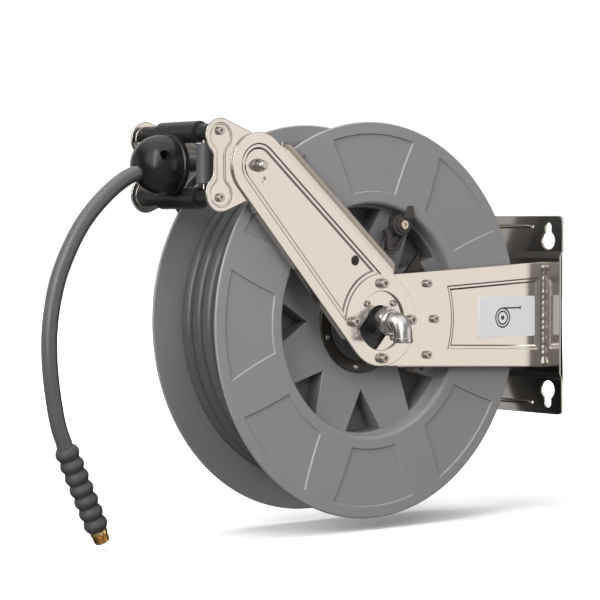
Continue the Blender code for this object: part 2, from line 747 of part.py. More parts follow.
def guide_outline():
    """The side plate: a round lobe on the pivot, one at each rod, and a waist between them."""
    middles, lean = {}, {}
    for name, (x, z) in LOBES.items():
        middles[name] = (x + LOBE_OFFSET[name][0], z + LOBE_OFFSET[name][1])
        heading = degrees(atan2(middles[name][1], middles[name][0]))
        spread = degrees(acos((PIVOT_LOBE_R - LOBE_R) / hypot(*middles[name])))
        lean[name] = heading - spread if name == "top" else heading + spread
    outline = arc((0, 0), PIVOT_LOBE_R, lean["bottom"], lean["top"], 14)
    outline += arc(middles["top"], LOBE_R, lean["top"], LOBE_WAIST_ANGLE, 10)
    outline += [(WAIST, 0.010), (WAIST, -0.011)]
    outline += arc(middles["bottom"], LOBE_R, 360 - LOBE_WAIST_ANGLE, 360 + lean["bottom"], 10)
    return moved(outline, PIVOT)


def rod_centre(name):
    return (PIVOT[0] + LOBES[name][0], PIVOT[1] + LOBES[name][1])


def make_guide_plates(parent):
    for side in SIDES:
        holes = [circle(PIVOT, M10_HOLE_R, 16)]
        holes += [circle(rod_centre(n), M6_HOLE_R, 12) for n in LOBES]
        plate = flat(f"guide_plate_{side}", [guide_outline(), *holes],
                     *across(side, FORK_FACE - SHEET, FORK_FACE))
        finish(plate, "stainless", parent)


def make_rollers(parent):
    rod_end, stud_end = FORK_FACE - SHEET - GAP, FORK_FACE - GAP
    for name in LOBES:
        centre = rod_centre(name)
        half = [(0.003, stud_end), (0.003, rod_end), (SPACER_R, rod_end),
                (SPACER_R, ROLLER_HALF + GAP), (ROD_R, ROLLER_HALF + GAP)]
        profile = [(0.0, stud_end), *half, *[(r, -h) for r, h in reversed(half)], (0.0, -stud_end)]
        tie = turned(f"guide_tie_rod_{name}", profile, 16, closed=False)
        tie.location = (centre[0], 0.0, centre[1])
        finish(tie, "dark_steel", parent)
        sleeve = [(ROD_R + GAP, -ROLLER_HALF), (ROLLER_R, -ROLLER_HALF), (ROLLER_R, ROLLER_HALF),
                  (ROD_R + GAP, ROLLER_HALF)]
        roller = turned(f"guide_roller_{name}", sleeve, 20)
        roller.location = (centre[0], 0.0, centre[1])
        finish(roller, "black_plastic", parent)
    low = rod_centre("bottom")[1]
    high = rod_centre("top")[1]
    for side in SIDES:
        y = SIDES[side] * SIDE_ROLLER_Y
        x = rod_centre("top")[0]
        pin = [(0.0, high - SPACER_R - GAP), (SIDE_PIN_R, high - SPACER_R - GAP),
               (SIDE_PIN_R, low + SPACER_R + GAP), (0.0, low + SPACER_R + GAP)]
        pin = turned(f"side_roller_pin_{side}", pin, 12, axis="Z", closed=False)
        pin.location = (x, y, 0.0)
        finish(pin, "dark_steel", parent)
        bottom, top = SIDE_ROLLER_ENDS
        sleeve = [(SIDE_PIN_R + GAP, bottom), (SIDE_ROLLER_R, bottom), (SIDE_ROLLER_R, top),
                  (SIDE_PIN_R + GAP, top)]
        roller = turned(f"side_roller_{side}", sleeve, 20, axis="Z")
        roller.location = (x, y, 0.0)
        finish(roller, "grey_plastic", parent)


def ball_profile():
    """The stop's profile, as radius and X from the drum's axis: a collar disc and a dome."""
    outline = [(0.0, COLLAR[1]), (COLLAR_R, COLLAR[1]), (COLLAR_R, COLLAR[0])]
    start = degrees(acos((COLLAR[0] - BALL[0]) / BALL_R))
    for angle in range(round(start), 181, 15):
        outline.append((BALL_R * sin(radians(angle)), BALL[0] + BALL_R * cos(radians(angle))))
    return outline[:-1] + [(0.0, BALL[0] - BALL_R)]


def make_ball_stop(parent):
    """Two halves clamped round the hose by a screw, split at the middle plane."""
    entry, leave = Vector(RUN_ROUTE[4]), Vector(RUN_ROUTE[-1])
    heading = (leave - entry).normalized()
    ends = [entry - heading * 0.01, leave + heading * 0.02]
    channel = [(p.x, 0.0, p.y) for p in ends]
    for side, sign in SIDES.items():
        half = turned(f"ball_stop_{side}", ball_profile(), 20, axis="X", closed=False)
        half.location = (0.0, 0.0, BALL[1])
        low = (-0.35, GAP / 2, 0.10) if sign > 0 else (-0.35, -0.05, 0.10)
        high = (-0.25, 0.05, 0.28) if sign > 0 else (-0.25, -GAP / 2, 0.28)
        combine(half, block("half_space", low, high), "INTERSECT")
        cut(half, rod("channel", *channel, HOSE_R + 4 * GAP, 20))
        ends = [(BALL_SCREW[0], y, BALL_SCREW[1]) for y in (-0.05, 0.0195)]
        cut(half, rod("screw_hole", *ends, 0.0033, 12))
        if side == "inlet":
            ends = [(BALL_SCREW[0], y, BALL_SCREW[1]) for y in (-0.05, -0.014)]
            cut(half, rod("counterbore", *ends, 0.006, 16))
        finish(half, "black_plastic", parent)
    cap_bolt("ball_stop_screw", BALL_SCREW, "inlet", 0.0143, 0.0052, 0.006, 0.003, 0.033,
             "dark_steel", parent)


# Hose

def along_y_plane(route):
    return [(p.x, 0.0, p.y) for p in route]


def pointed(obj, start, heading):
    """Stands a piece that was turned about Z on a point, along a direction in the middle plane."""
    obj.rotation_euler = Vector((heading.x, 0.0, heading.y)).to_track_quat("Z", "Y").to_euler()
    obj.location = (start.x, 0.0, start.y)


def make_hose(parent):
    spacing = 4 * HOSE_R
    run_route = [(x, y, z) for (x, z), y in zip(RUN_ROUTE, RUN_SWAY)]
    run = tube("hose_run", smooth_route(run_route, spacing), HOSE_R, 2)
    finish(run, "hose_rubber")
    heading = (Vector(RUN_ROUTE[-1]) - Vector(RUN_ROUTE[-2])).normalized()
    tail_start = Vector(RUN_ROUTE[-1]) + heading * 2 * GAP
    route = [tail_start, *smooth_route(TAIL_ROUTE, spacing)]
    tail = tube("hose_tail", along_y_plane(route), HOSE_R, 3)
    finish(tail, "hose_rubber", parent)
    start, end = Vector(GRIP_START), Vector(GRIP_END)
    heading, length = (end - start).normalized(), (end - start).length
    pitch = length / GRIP_RINGS
    profile = [(0.0, 0.0)]
    for i in range(GRIP_RINGS):
        low = i * pitch
        profile += [(GRIP_VALLEY_R, low), (GRIP_R, low + 0.35 * pitch), (GRIP_R, low + 0.65 * pitch)]
    profile += [(GRIP_VALLEY_R, length), (0.0, length)]
    grip = turned("hose_grip", profile, 12, axis="Z", closed=False)
    pointed(grip, start, heading)
    finish(grip, "hose_rubber", parent)
    mouth, depth = 0.006, 0.003
    nipple = [
        (0.0, 0.0), (NIPPLE_R, 0.0), (NIPPLE_R, NIPPLE_LENGTH), (mouth, NIPPLE_LENGTH),
        (mouth, NIPPLE_LENGTH - depth), (0.0, NIPPLE_LENGTH - depth),
    ]
    nipple = turned("hose_nipple", nipple, 16, axis="Z", closed=False)
    pointed(nipple, end + heading * GAP, heading)
    finish(nipple, "brass", parent)


# Assembly

clear_scene()
PARTS = new_collection("fire_hose_reel")
CUTTERS = new_collection("cutters")
AXIS_POINT = Vector((-AXIS_TO_WALL, 0.0, 0.0))
REEL_AXIS = add_empty("reel_axis", None, AXIS_POINT)
bpy.context.view_layer.update()
GUIDE_AXIS = add_empty("guide_axis", REEL_AXIS, (PIVOT[0], 0.0, PIVOT[1]))
bpy.context.view_layer.update()

make_wall_plate()
make_label()
make_axle()
make_inlet()
make_barrel()
make_spring_motor()
make_cam()
make_pawl()
make_fasteners()
for a_side in SIDES:
    make_fork_plate(a_side)
    make_arm(a_side)
    make_flange(a_side)
    make_hub(a_side)
make_guide_plates(GUIDE_AXIS)
make_rollers(GUIDE_AXIS)
make_ball_stop(GUIDE_AXIS)
make_hose(GUIDE_AXIS)
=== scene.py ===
"""The looks of a wall-mounted spring-rewind hose reel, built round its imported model.

Places are written from the drum's axis, X along the wall's normal and Z up, as (x, z) or
(x, y, z), and heights on either side are distances from the middle plane.
"""

import json
from math import acos, asin, atan2, cos, degrees, hypot, pi, radians, sin, sqrt, tan

import bmesh
import bpy
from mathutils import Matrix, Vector
from mathutils.geometry import tessellate_polygon


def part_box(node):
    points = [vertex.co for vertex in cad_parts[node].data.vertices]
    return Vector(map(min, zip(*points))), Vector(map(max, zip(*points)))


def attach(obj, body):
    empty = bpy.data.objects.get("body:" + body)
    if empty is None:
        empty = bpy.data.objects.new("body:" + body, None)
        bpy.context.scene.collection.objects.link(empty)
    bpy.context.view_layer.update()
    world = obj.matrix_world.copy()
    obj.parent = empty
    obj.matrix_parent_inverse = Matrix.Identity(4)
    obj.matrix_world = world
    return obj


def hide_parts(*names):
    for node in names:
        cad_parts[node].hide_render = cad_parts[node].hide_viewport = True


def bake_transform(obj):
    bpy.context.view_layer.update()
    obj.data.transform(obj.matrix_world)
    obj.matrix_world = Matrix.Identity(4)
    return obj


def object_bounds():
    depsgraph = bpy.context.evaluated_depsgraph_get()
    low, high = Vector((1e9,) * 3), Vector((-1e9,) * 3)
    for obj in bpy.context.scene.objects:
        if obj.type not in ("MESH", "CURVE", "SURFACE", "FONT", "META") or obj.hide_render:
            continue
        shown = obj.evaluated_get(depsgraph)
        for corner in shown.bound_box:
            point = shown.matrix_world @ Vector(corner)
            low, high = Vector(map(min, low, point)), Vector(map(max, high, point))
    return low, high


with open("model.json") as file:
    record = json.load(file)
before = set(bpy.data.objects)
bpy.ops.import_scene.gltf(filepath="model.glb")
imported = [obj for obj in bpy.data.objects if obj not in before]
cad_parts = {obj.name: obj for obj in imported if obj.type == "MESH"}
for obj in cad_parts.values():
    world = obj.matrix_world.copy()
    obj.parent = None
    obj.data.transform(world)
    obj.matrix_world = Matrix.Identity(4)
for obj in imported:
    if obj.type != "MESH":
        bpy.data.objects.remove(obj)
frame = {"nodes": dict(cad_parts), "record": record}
cad_low, cad_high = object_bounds()


# Driving dimensions, from the frame

def middle(node):
    low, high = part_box(node)
    return (low + high) / 2


def on_axis(node):
    """The (x, z) of a node's middle, from the drum's axis."""
    return (middle(node).x - AXIS, middle(node).z)


SIDES = {"inlet": -1, "spring": 1}  # the sign of Y on each side
GAP = 0.0003
AXIS = middle("drum_axle").x
SHEET = 0.003
FORK_FACE = -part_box("fork_plate_inlet")[0].y
FORK_BACK = FORK_FACE - SHEET
ARM_FACE = -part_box("guide_arm_inlet")[0].y
FLANGE_FACE = -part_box("drum_flange_inlet")[0].y
FLANGE_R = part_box("drum_flange_inlet")[1].z
FLANGE_BACK = FLANGE_FACE - 0.004
PIVOT = on_axis("guide_pivot_nut_inlet")
LOBES = {name: on_axis(f"guide_roller_{name}") for name in ("top", "bottom")}
LOBE_R = 0.022
LOBE_OFFSET = {"top": (0.001, -0.0065), "bottom": (0.001, 0.0045)}
LOBE_MIDDLES = {name: (x + LOBE_OFFSET[name][0], z + LOBE_OFFSET[name][1])
                for name, (x, z) in LOBES.items()}
PLATE_END = -AXIS
PLATE_HALF_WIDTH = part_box("wall_plate")[1].y
PLATE_HALF_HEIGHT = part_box("wall_plate")[1].z
FORK_R = 0.057
ARM_TIP_R = 0.04
ARM_MARGIN = 0.0125
ARM_PRESS = 0.0022
EYE_R = 0.0372
PIVOT_HOLE_R = 0.0053
BOLT_CIRCLE_R = 0.047
BOLT_ANGLES = (0, 90, 180, 270)
BOLT_HOLE_R = 0.0043
CAM_BOLT_R = 0.091
CAM_BOLT_ANGLES = (-30, 0, 30)
SCREW_HOLE_R = 0.0033
RETAINER_SCREW_R = 0.0305
HUB_SCREW_R = 0.0595
HOSE_R = 0.0095
FACET_ROOM = 0.0008  # keeps the smooth hose inside the CAD hose's flats
WELL_R = 0.146
WEB_EDGE = 0.04575
WEB_HUB = 0.039
BODY_OF = {node: body for body, nodes in frame["record"]["behaviour"]["bodies"].items()
           for node in nodes}

# The hose's route: the run off the winding with its sideways sway, then the free tail
RUN_ROUTE = (
    (-0.028, 0.2185), (-0.08, 0.2135), (-0.14, 0.206), (-0.2, 0.1985),
    (-0.25, 0.1922), (-0.28, 0.1882), (-0.305, 0.184),
)
RUN_SWAY = (0.05, 0.044, 0.027, 0.009, 0.0, 0.0, 0.0)
TAIL_ROUTE = (
    (-0.3175, 0.1819), (-0.335, 0.1747), (-0.358, 0.159), (-0.381, 0.138), (-0.4, 0.115),
    (-0.417, 0.086), (-0.43, 0.056), (-0.438, 0.024), (-0.442, -0.008), (-0.4415, -0.043),
    (-0.437, -0.08), (-0.43, -0.114), (-0.4206, -0.1384),
)
GRIP_START = (-0.4201, -0.1395)
GRIP_END = (-0.3745, -0.2397)


# Outlines

def polar(radius, angle, centre=(0.0, 0.0)):
    return (centre[0] + radius * cos(radians(angle)), centre[1] + radius * sin(radians(angle)))


def bearing(point):
    """The angle at which a point stands, in degrees."""
    return degrees(atan2(point[1], point[0]))


def arc(centre, radius, start, end, steps):
    return [polar(radius, start + (end - start) * i / steps, centre) for i in range(steps + 1)]


def circle(centre, radius, sides=32):
    return arc(centre, radius, 0, 360 - 360 / sides, sides - 1)


def corners(outline):
    """Each point of an outline between its two neighbours."""
    return zip([outline[-1], *outline[:-1]], outline, [*outline[1:], outline[0]])


def anticlockwise(outline):
    area = sum(a[0] * b[1] - b[0] * a[1] for _, a, b in corners(outline))
    return list(outline) if area > 0 else list(reversed(outline))


def inset(outline, distance):
    """An anticlockwise outline moved inwards, corner by corner."""
    moved = []
    for a, b, c in corners(outline):
        first = Vector((a[1] - b[1], b[0] - a[0])).normalized()
        second = Vector((b[1] - c[1], c[0] - b[0])).normalized()
        step = (first + second) / max(1 + first.dot(second), 0.3)
        moved.append((b[0] + step.x * distance, b[1] + step.y * distance))
    return moved


def rounded(points, radius, steps=5):
    """The same outline with its corners rounded, by one radius or one for each corner."""
    outline = []
    for i, p in enumerate(points):
        r = radius[i] if isinstance(radius, list) else radius
        if r == 0:
            outline.append(tuple(p))
            continue
        corner = Vector(p)
        back = Vector(points[i - 1]) - corner
        ahead = Vector(points[(i + 1) % len(points)]) - corner
        half = max(back.angle(ahead) / 2, 0.05)
        reach = min(r / tan(half), 0.49 * back.length, 0.49 * ahead.length)
        start = corner + back.normalized() * reach
        end = corner + ahead.normalized() * reach
        for k in range(steps + 1):
            t = k / steps
            outline.append(tuple(start * (1 - t) ** 2 + corner * 2 * t * (1 - t) + end * t**2))
    return outline


def inside(point, outline):
    hit = False
    for _, (x0, z0), (x1, z1) in corners(outline):
        if (z0 > point[1]) != (z1 > point[1]):
            if point[0] < (x1 - x0) * (point[1] - z0) / (z1 - z0) + x0:
                hit = not hit
    return hit


def smoothstep(t):
    t = min(max(t, 0.0), 1.0)
    return t * t * (3 - 2 * t)


def smooth_route(points, spacing):
    """Evenly spaced points on the Catmull-Rom curve through a route's own points."""
    known = [Vector(p) for p in points]
    known = [2 * known[0] - known[1], *known, 2 * known[-1] - known[-2]]
    fine, parts = [], 24
    for a, b, c, d in zip(known, known[1:], known[2:], known[3:]):
        for i in range(parts):
            t = i / parts
            fine.append(0.5 * (2 * b + (c - a) * t + (2 * a - 5 * b + 4 * c - d) * t**2
                               + (3 * b - a - 3 * c + d) * t**3))
    fine.append(known[-2])
    lengths = [0.0]
    for p, q in zip(fine, fine[1:]):
        lengths.append(lengths[-1] + (q - p).length)
    count = max(2, round(lengths[-1] / spacing))
    route, at = [], 0
    for i in range(count + 1):
        wanted = lengths[-1] * i / count
        while at < len(fine) - 2 and lengths[at + 1] < wanted:
            at += 1
        part = (wanted - lengths[at]) / max(lengths[at + 1] - lengths[at], 1e-9)
        route.append(fine[at].lerp(fine[at + 1], min(part, 1.0)))
    return route


# Surfaces

def on_side(side):
    """Puts a point of an upright outline at a height on one side of the reel."""
    sign = SIDES[side]
    return lambda p, h: (p[0] + AXIS, sign * h, p[1])


def facing_wall(p, h):
    """Puts a point of an outline in Y and Z at a distance from the drum's axis."""
    return (h + AXIS, p[0], p[1])


def round_section(middle_point, first, second, radius, sides):
    """A ring of points round a middle, in the plane of two directions."""
    ring = []
    for j in range(sides):
        a = 2 * pi * j / sides
        ring.append(middle_point + (first * cos(a) + second * sin(a)) * radius)
    return ring


class Shape:
    """The points and faces of one piece, gathered from closed surfaces."""

    def __init__(self):
        self.points, self.faces = [], []

    def add(self, points, faces):
        start = len(self.points)
        self.points += [tuple(p) for p in points]
        self.faces += [tuple(start + i for i in face) for face in faces]
        return self

    def loft(self, rings, closed=False, capped=True):
        """Skins equal rings of points. Where it isn't closed on itself, its two ends are capped."""
        size = len(rings[0])
        last = len(rings) if closed else len(rings) - 1
        faces = []
        for i in range(last):
            low, high = i * size, (i + 1) % len(rings) * size
            for j in range(size):
                k = (j + 1) % size
                faces.append((low + j, low + k, high + k, high + j))
        if capped and not closed:
            faces.append(tuple(range(size))[::-1])
            faces.append(tuple(last * size + j for j in range(size)))
        return self.add([p for ring in rings for p in ring], faces)

    def fill(self, loops, place):
        """Triangles between an outline and its holes."""
        flat = [[Vector((*p, 0.0)) for p in loop] for loop in loops]
        return self.add([place(p) for loop in loops for p in loop], tessellate_polygon(flat))

    def turned(self, profile, axis="Y", centre=(0.0, 0.0, 0.0), segments=56, sign=1):
        """Turns (radius, height) points about an axis through a centre."""
        rings = []
        for r, h in profile:
            ring = []
            for i in range(segments):
                angle = 2 * pi * i / segments
                c, s = r * cos(angle), r * sin(angle)
                ring.append({
                    "X": (h + AXIS, centre[1] + c, centre[2] + s),
                    "Y": (centre[0] + AXIS + c, sign * h, centre[2] + s),
                    "Z": (centre[0] + AXIS + c, centre[1] + s, h),
                }[axis])
            rings.append(ring)
        return self.loft(rings, closed=True)

    def sweep(self, points, radius, sides=16):
        """A tube along points, its radius a number or a list with one for each point."""
        points = [Vector(p) for p in points]
        heading = (points[1] - points[0]).normalized()
        up = heading.orthogonal().normalized()
        rings = []
        for i, p in enumerate(points):
            ahead = (points[min(i + 1, len(points) - 1)] - points[max(i - 1, 0)]).normalized()
            up = (heading.rotation_difference(ahead) @ up).normalized()
            heading = ahead
            r = radius[i] if isinstance(radius, list) else radius
            rings.append(round_section(p, up, heading.cross(up), r, sides))
        return self.loft(rings)


PRESS_STEPS = 14
EDGE_STEPS = 3


def press_drop(t):
    """How far a press has sunk at a part of its width: a first bend, a ledge and a second bend."""
    return 0.4 * smoothstep(t / 0.36) + 0.6 * smoothstep((t - 0.6) / 0.4)


def plate(shape, place, outline, low, high, holes=(), presses=(), edge=0.0007):
    """A sheet with rounded edges, holes and pressed panels given as (outline, width, depth)."""
    outline = anticlockwise(outline)
    presses = [(anticlockwise(line), width, depth) for line, width, depth in presses]
    holes = [anticlockwise(hole) for hole in holes]
    floors = [[] for _ in presses]
    plain = []
    for hole in holes:
        home = next((i for i, press in enumerate(presses) if inside(hole[0], press[0])), None)
        (plain if home is None else floors[home]).append(hole)

    def rim(line, top, sign):
        """A wall from the top face round to the back, rounded at both edges."""
        quarter = [radians(90 * k / EDGE_STEPS) for k in range(EDGE_STEPS + 1)]
        section = [(edge * (1 - sin(a)), top - edge * (1 - cos(a))) for a in quarter]
        section += [(edge * (1 - cos(a)), low + edge * (1 - sin(a))) for a in quarter]
        shape.loft([[place(p, h) for p in inset(line, sign * d)] for d, h in section], capped=False)

    def face(line, inner, h):
        shape.fill([line, *(inset(hole, -edge) for hole in inner)], lambda p: place(p, h))

    rim(outline, high, 1)
    front = [inset(outline, edge)] + [inset(hole, -edge) for hole in plain]
    for hole in plain:
        rim(hole, high, -1)
    for (line, width, depth), inner in zip(presses, floors):
        front.append(line)
        steps = [k / PRESS_STEPS for k in range(PRESS_STEPS + 1)]
        shape.loft([[place(p, high - depth * press_drop(t)) for p in inset(line, width * t)]
                    for t in steps], capped=False)
        face(inset(line, width), inner, high - depth)
        for hole in inner:
            rim(hole, high - depth, -1)
    shape.fill(front, lambda p: place(p, high))
    face(inset(outline, edge), holes, low)
    return shape


def disc(shape, place, centre, outer, inner, low, high, edge=0.0003, segments=36):
    """A flat ring such as a washer."""
    return plate(shape, place, circle(centre, outer, segments), low, high,
                 [circle(centre, inner, segments)], edge=edge)


def new_object(name, points, faces):
    mesh = bpy.data.meshes.new(name)
    mesh.from_pydata(points, [], faces)
    obj = bpy.data.objects.new(name, mesh)
    bpy.context.scene.collection.objects.link(obj)
    return obj


def joined(obj):
    """Merges the seams of an object's surfaces and turns their faces outwards."""
    work = bmesh.new()
    work.from_mesh(obj.data)
    bmesh.ops.remove_doubles(work, verts=work.verts, dist=0.000002)
    bmesh.ops.dissolve_degenerate(work, edges=work.edges, dist=0.000001)
    bmesh.ops.recalc_face_normals(work, faces=work.faces)
    work.to_mesh(obj.data)
    work.free()
    return obj


def soften(obj, sharp):
    """Shades an object smooth, but for the edges sharper than an angle."""
    obj.data.shade_smooth()
    obj.data.set_sharp_from_angle(angle=radians(sharp))


def piece(name, shape, finish, body=None, blended=False, sharp=38):
    """Makes the look of the CAD node of this name or, where a body is given, an extra on it."""
    obj = joined(new_object(name if body else f"{name}.look", shape.points, shape.faces))
    obj.data.materials.append(finish)
    soften(obj, sharp)
    weighted = obj.modifiers.new("weighted", "WEIGHTED_NORMAL")
    weighted.keep_sharp = True
    if not blended:
        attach(obj, body or BODY_OF[name])
    if not body:
        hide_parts(name)
    return obj


# Materials

def add_node(tree, kind, inputs, **settings):
    """A shader node whose inputs are numbers, or sockets of other nodes to be linked."""
    made = tree.nodes.new("ShaderNode" + kind)
    for key, value in settings.items():
        setattr(made, key, value)
    return fill_inputs(tree, made, inputs)


def fill_inputs(tree, node, inputs):
    for key, value in inputs.items():
        if isinstance(value, bpy.types.NodeSocket):
            tree.links.new(value, node.inputs[key])
        else:
            node.inputs[key].default_value = value
    return node


def map_range(tree, value, start, end, low, high, **settings):
    inputs = {"Value": value, "From Min": start, "From Max": end, "To Min": low, "To Max": high}
    return add_node(tree, "MapRange", inputs, **settings).outputs["Result"]


def new_material(name, inputs):
    made = bpy.data.materials.new(name)
    made.use_nodes = True
    shader = made.node_tree.nodes["Principled BSDF"]
    return made, made.node_tree, fill_inputs(made.node_tree, shader, inputs)


def material(name, slot, colour, rough, metallic=0.0, mottle=0.06, mottle_scale=14.0,
             rough_spread=0.06, grain=(600.0, 0.04), stretch=(1.0, 1.0, 1.0), painted_shade_band=None):
    """A finish with uneven colour, uneven gloss and a fine grain and, where a band is given, painted
    shade: the base colour darkened along X towards the wall plate, standing in for a dark reflection
    there.
    """
    made, tree, shader = new_material(name, {"Metallic": metallic, "Coat Weight": 0.0,
                                             "Coat Roughness": 0.08, "Specular IOR Level": 0.5})
    made["slot"] = slot
    place = add_node(tree, "TexCoord", {}).outputs["Object"]
    brushed = add_node(tree, "Mapping", {"Scale": stretch, "Vector": place}).outputs["Vector"]

    def noise(scale, detail, vector):
        inputs = {"Scale": scale, "Detail": detail, "Vector": vector}
        return add_node(tree, "TexNoise", inputs).outputs["Fac"]

    darker = tuple(c * (1 - mottle) for c in colour)
    lighter = tuple(min(c * (1 + mottle), 1.0) for c in colour)
    patches = map_range(tree, noise(mottle_scale, 5.0, place), 0.3, 0.7, 0.0, 1.0)
    mix = add_node(tree, "Mix", {0: patches, 6: (*darker, 1.0), 7: (*lighter, 1.0)}, data_type="RGBA")
    base = mix.outputs[2]
    # Painted shade: the base colour falls along X towards the wall end of the piece, standing in for a
    # dark reflection near the weld.
    if painted_shade_band:
        start, end, strength = painted_shade_band
        along = add_node(tree, "SeparateXYZ", {"Vector": place}).outputs["X"]
        painted_shade_near_wall = map_range(tree, along, start, end, 1.0, strength, interpolation_type="SMOOTHSTEP")
        darken = add_node(tree, "VectorMath", {}, operation="SCALE")
        base = fill_inputs(tree, darken, {0: base, "Scale": painted_shade_near_wall}).outputs["Vector"]
    gloss = noise(mottle_scale * 4, 4.0, brushed)
    gloss = map_range(tree, gloss, 0.3, 0.7, max(rough - rough_spread, 0.02), rough + rough_spread)
    bump = add_node(tree, "Bump", {"Strength": grain[1], "Distance": 0.001,
                                   "Height": noise(grain[0], 3.0, brushed)})
    fill_inputs(tree, shader, {"Base Color": base, "Roughness": gloss,
                               "Normal": bump.outputs["Normal"]})
    return made


ALONG_X = (0.06, 1.0, 1.0)
BRUSHED = {"metallic": 1.0, "mottle": 0.012, "rough_spread": 0.02, "grain": (420.0, 0.008),
           "stretch": ALONG_X}
STAINLESS = material("brushed_stainless", "stainless", (0.8, 0.755, 0.7), 0.16, **BRUSHED)
# The fork's steel carries painted shade: its colour is darkened to 0.8 near the wall plate, for a dark
# reflection there.
FORK_STEEL = material("fork_stainless", "stainless", (0.8, 0.755, 0.7), 0.16, **BRUSHED,
                      painted_shade_band=(-0.046, -0.032, 0.8))
WALL_STEEL = material("wall_stainless", "stainless", (0.6, 0.565, 0.52), 0.13,
                      **{**BRUSHED, "grain": (420.0, 0.006)})
BOLT_STEEL = material("bolt_steel", "stainless", (0.58, 0.54, 0.49), 0.24, 1.0, 0.05,
                      grain=(900.0, 0.006))
WELD = material("weld_metal", "stainless", (0.5, 0.46, 0.42), 0.33, 1.0, 0.2, 120.0,
                grain=(500.0, 0.03))
NICKEL = material("satin_nickel", "nickel_fittings", (0.74, 0.72, 0.7), 0.3, 1.0, 0.03, 60.0,
                  0.03, (900.0, 0.003))
DRUM_GREY = material("drum_plastic", "drum_grey", (0.246, 0.243, 0.246), 0.47, 0.0, 0.025, 7.0,
                     0.04, (1500.0, 0.05))
DARK_GREY = material("dark_grey_plastic", "drum_grey", (0.07, 0.07, 0.073), 0.42, 0.0, 0.05,
                     grain=(1400.0, 0.05))
# A darker copy of the drum plastic: painted shade for the insides of the window pockets.
POCKET_PAINTED_SHADE = material("shaded_drum_plastic", "drum_grey", (0.15, 0.149, 0.151), 0.55, 0.0, 0.05,
                       grain=(1400.0, 0.03))
BLACK = material("black_plastic_look", "black_plastic", (0.016, 0.016, 0.017), 0.36, 0.0, 0.15,
                 30.0, 0.05, (1300.0, 0.05))
GLOSS_BLACK = material("gloss_black_plastic", "black_plastic", (0.01, 0.01, 0.011), 0.24, 0.0,
                       0.15, 25.0, 0.05, (180.0, 0.02))
HUB_BLACK = material("hub_plastic", "black_plastic", (0.022, 0.018, 0.015), 0.33, 0.0, 0.12, 40.0,
                     grain=(900.0, 0.04))
DARK_STEEL = material("dark_steel_look", "dark_steel", (0.07, 0.061, 0.055), 0.4, 1.0, 0.12,
                      35.0, grain=(500.0, 0.05))
RUBBER = material("hose_rubber_look", "hose_rubber", (0.078, 0.079, 0.081), 0.23, 0.0, 0.04, 45.0,
                  0.03, (1700.0, 0.012))
GRIP_RUBBER = material("grip_rubber", "hose_rubber", (0.05, 0.05, 0.051), 0.52, 0.0, 0.1, 60.0,
                       grain=(1500.0, 0.12))
BRASS = material("machined_brass", "brass", (0.8, 0.56, 0.25), 0.24, 1.0, 0.08, 80.0,
                 grain=(700.0, 0.05))
PAWL_PLASTIC = material("pawl_plastic", "black_plastic", (0.04, 0.036, 0.034), 0.4, 0.0, 0.08,
                        40.0, grain=(1300.0, 0.03))
PAWL_SCREW = material("plated_screw", "brass", (0.66, 0.58, 0.47), 0.26, 1.0, 0.08, 80.0,
                      grain=(700.0, 0.02))
SPRING_STEEL = material("blued_spring_steel", "spring_steel", (0.28, 0.28, 0.31), 0.3, 1.0, 0.1,
                        grain=(600.0, 0.05))
FILM = material("label_film_look", "label_film", (0.78, 0.78, 0.79), 0.38, 0.0, 0.015,
                grain=(1200.0, 0.02))
INK = material("label_ink", "label_film", (0.035, 0.035, 0.037), 0.4, 0.0, 0.1,
               grain=(1200.0, 0.02))


# Hose: the free tail, the run through the guide, and the winding

def upright(points):
    """Puts (x, z) points in the middle plane."""
    return [(x + AXIS, 0.0, z) for x, z in points]


def hose_tail():
    """The free hose, which is a cord with its grip and its nipple at the far end."""
    start = Vector(RUN_ROUTE[-1])
    start += (start - Vector(RUN_ROUTE[-2])).normalized() * 0.0006
    points = [start, *((x + FACET_ROOM, z) for x, z in TAIL_ROUTE), GRIP_START, GRIP_END]
    route = smooth_route(upright(points), HOSE_R / 2)
    tail = piece("hose_tail", Shape().sweep(route, HOSE_R, 24), RUBBER)
    hose_grip()
    hose_nipple()


def hose_grip():
    """A rubber sleeve of seven soft rings, tapering at its two ends."""
    start, end = (Vector(p) for p in upright([GRIP_START, GRIP_END]))
    rings, total, high, low = 7, 98, 0.0145, 0.0116
    points, radii = [], []
    for i in range(total + 1):
        swell = 0.5 - 0.5 * cos(2 * pi * i / total * rings)
        points.append(start.lerp(end, i / total))
        radii.append(low + (high - low) * swell**0.6)
    radii[0] = radii[-1] = 0.0102
    return piece("hose_grip", Shape().sweep(points, radii, 32), GRIP_RUBBER, sharp=60)


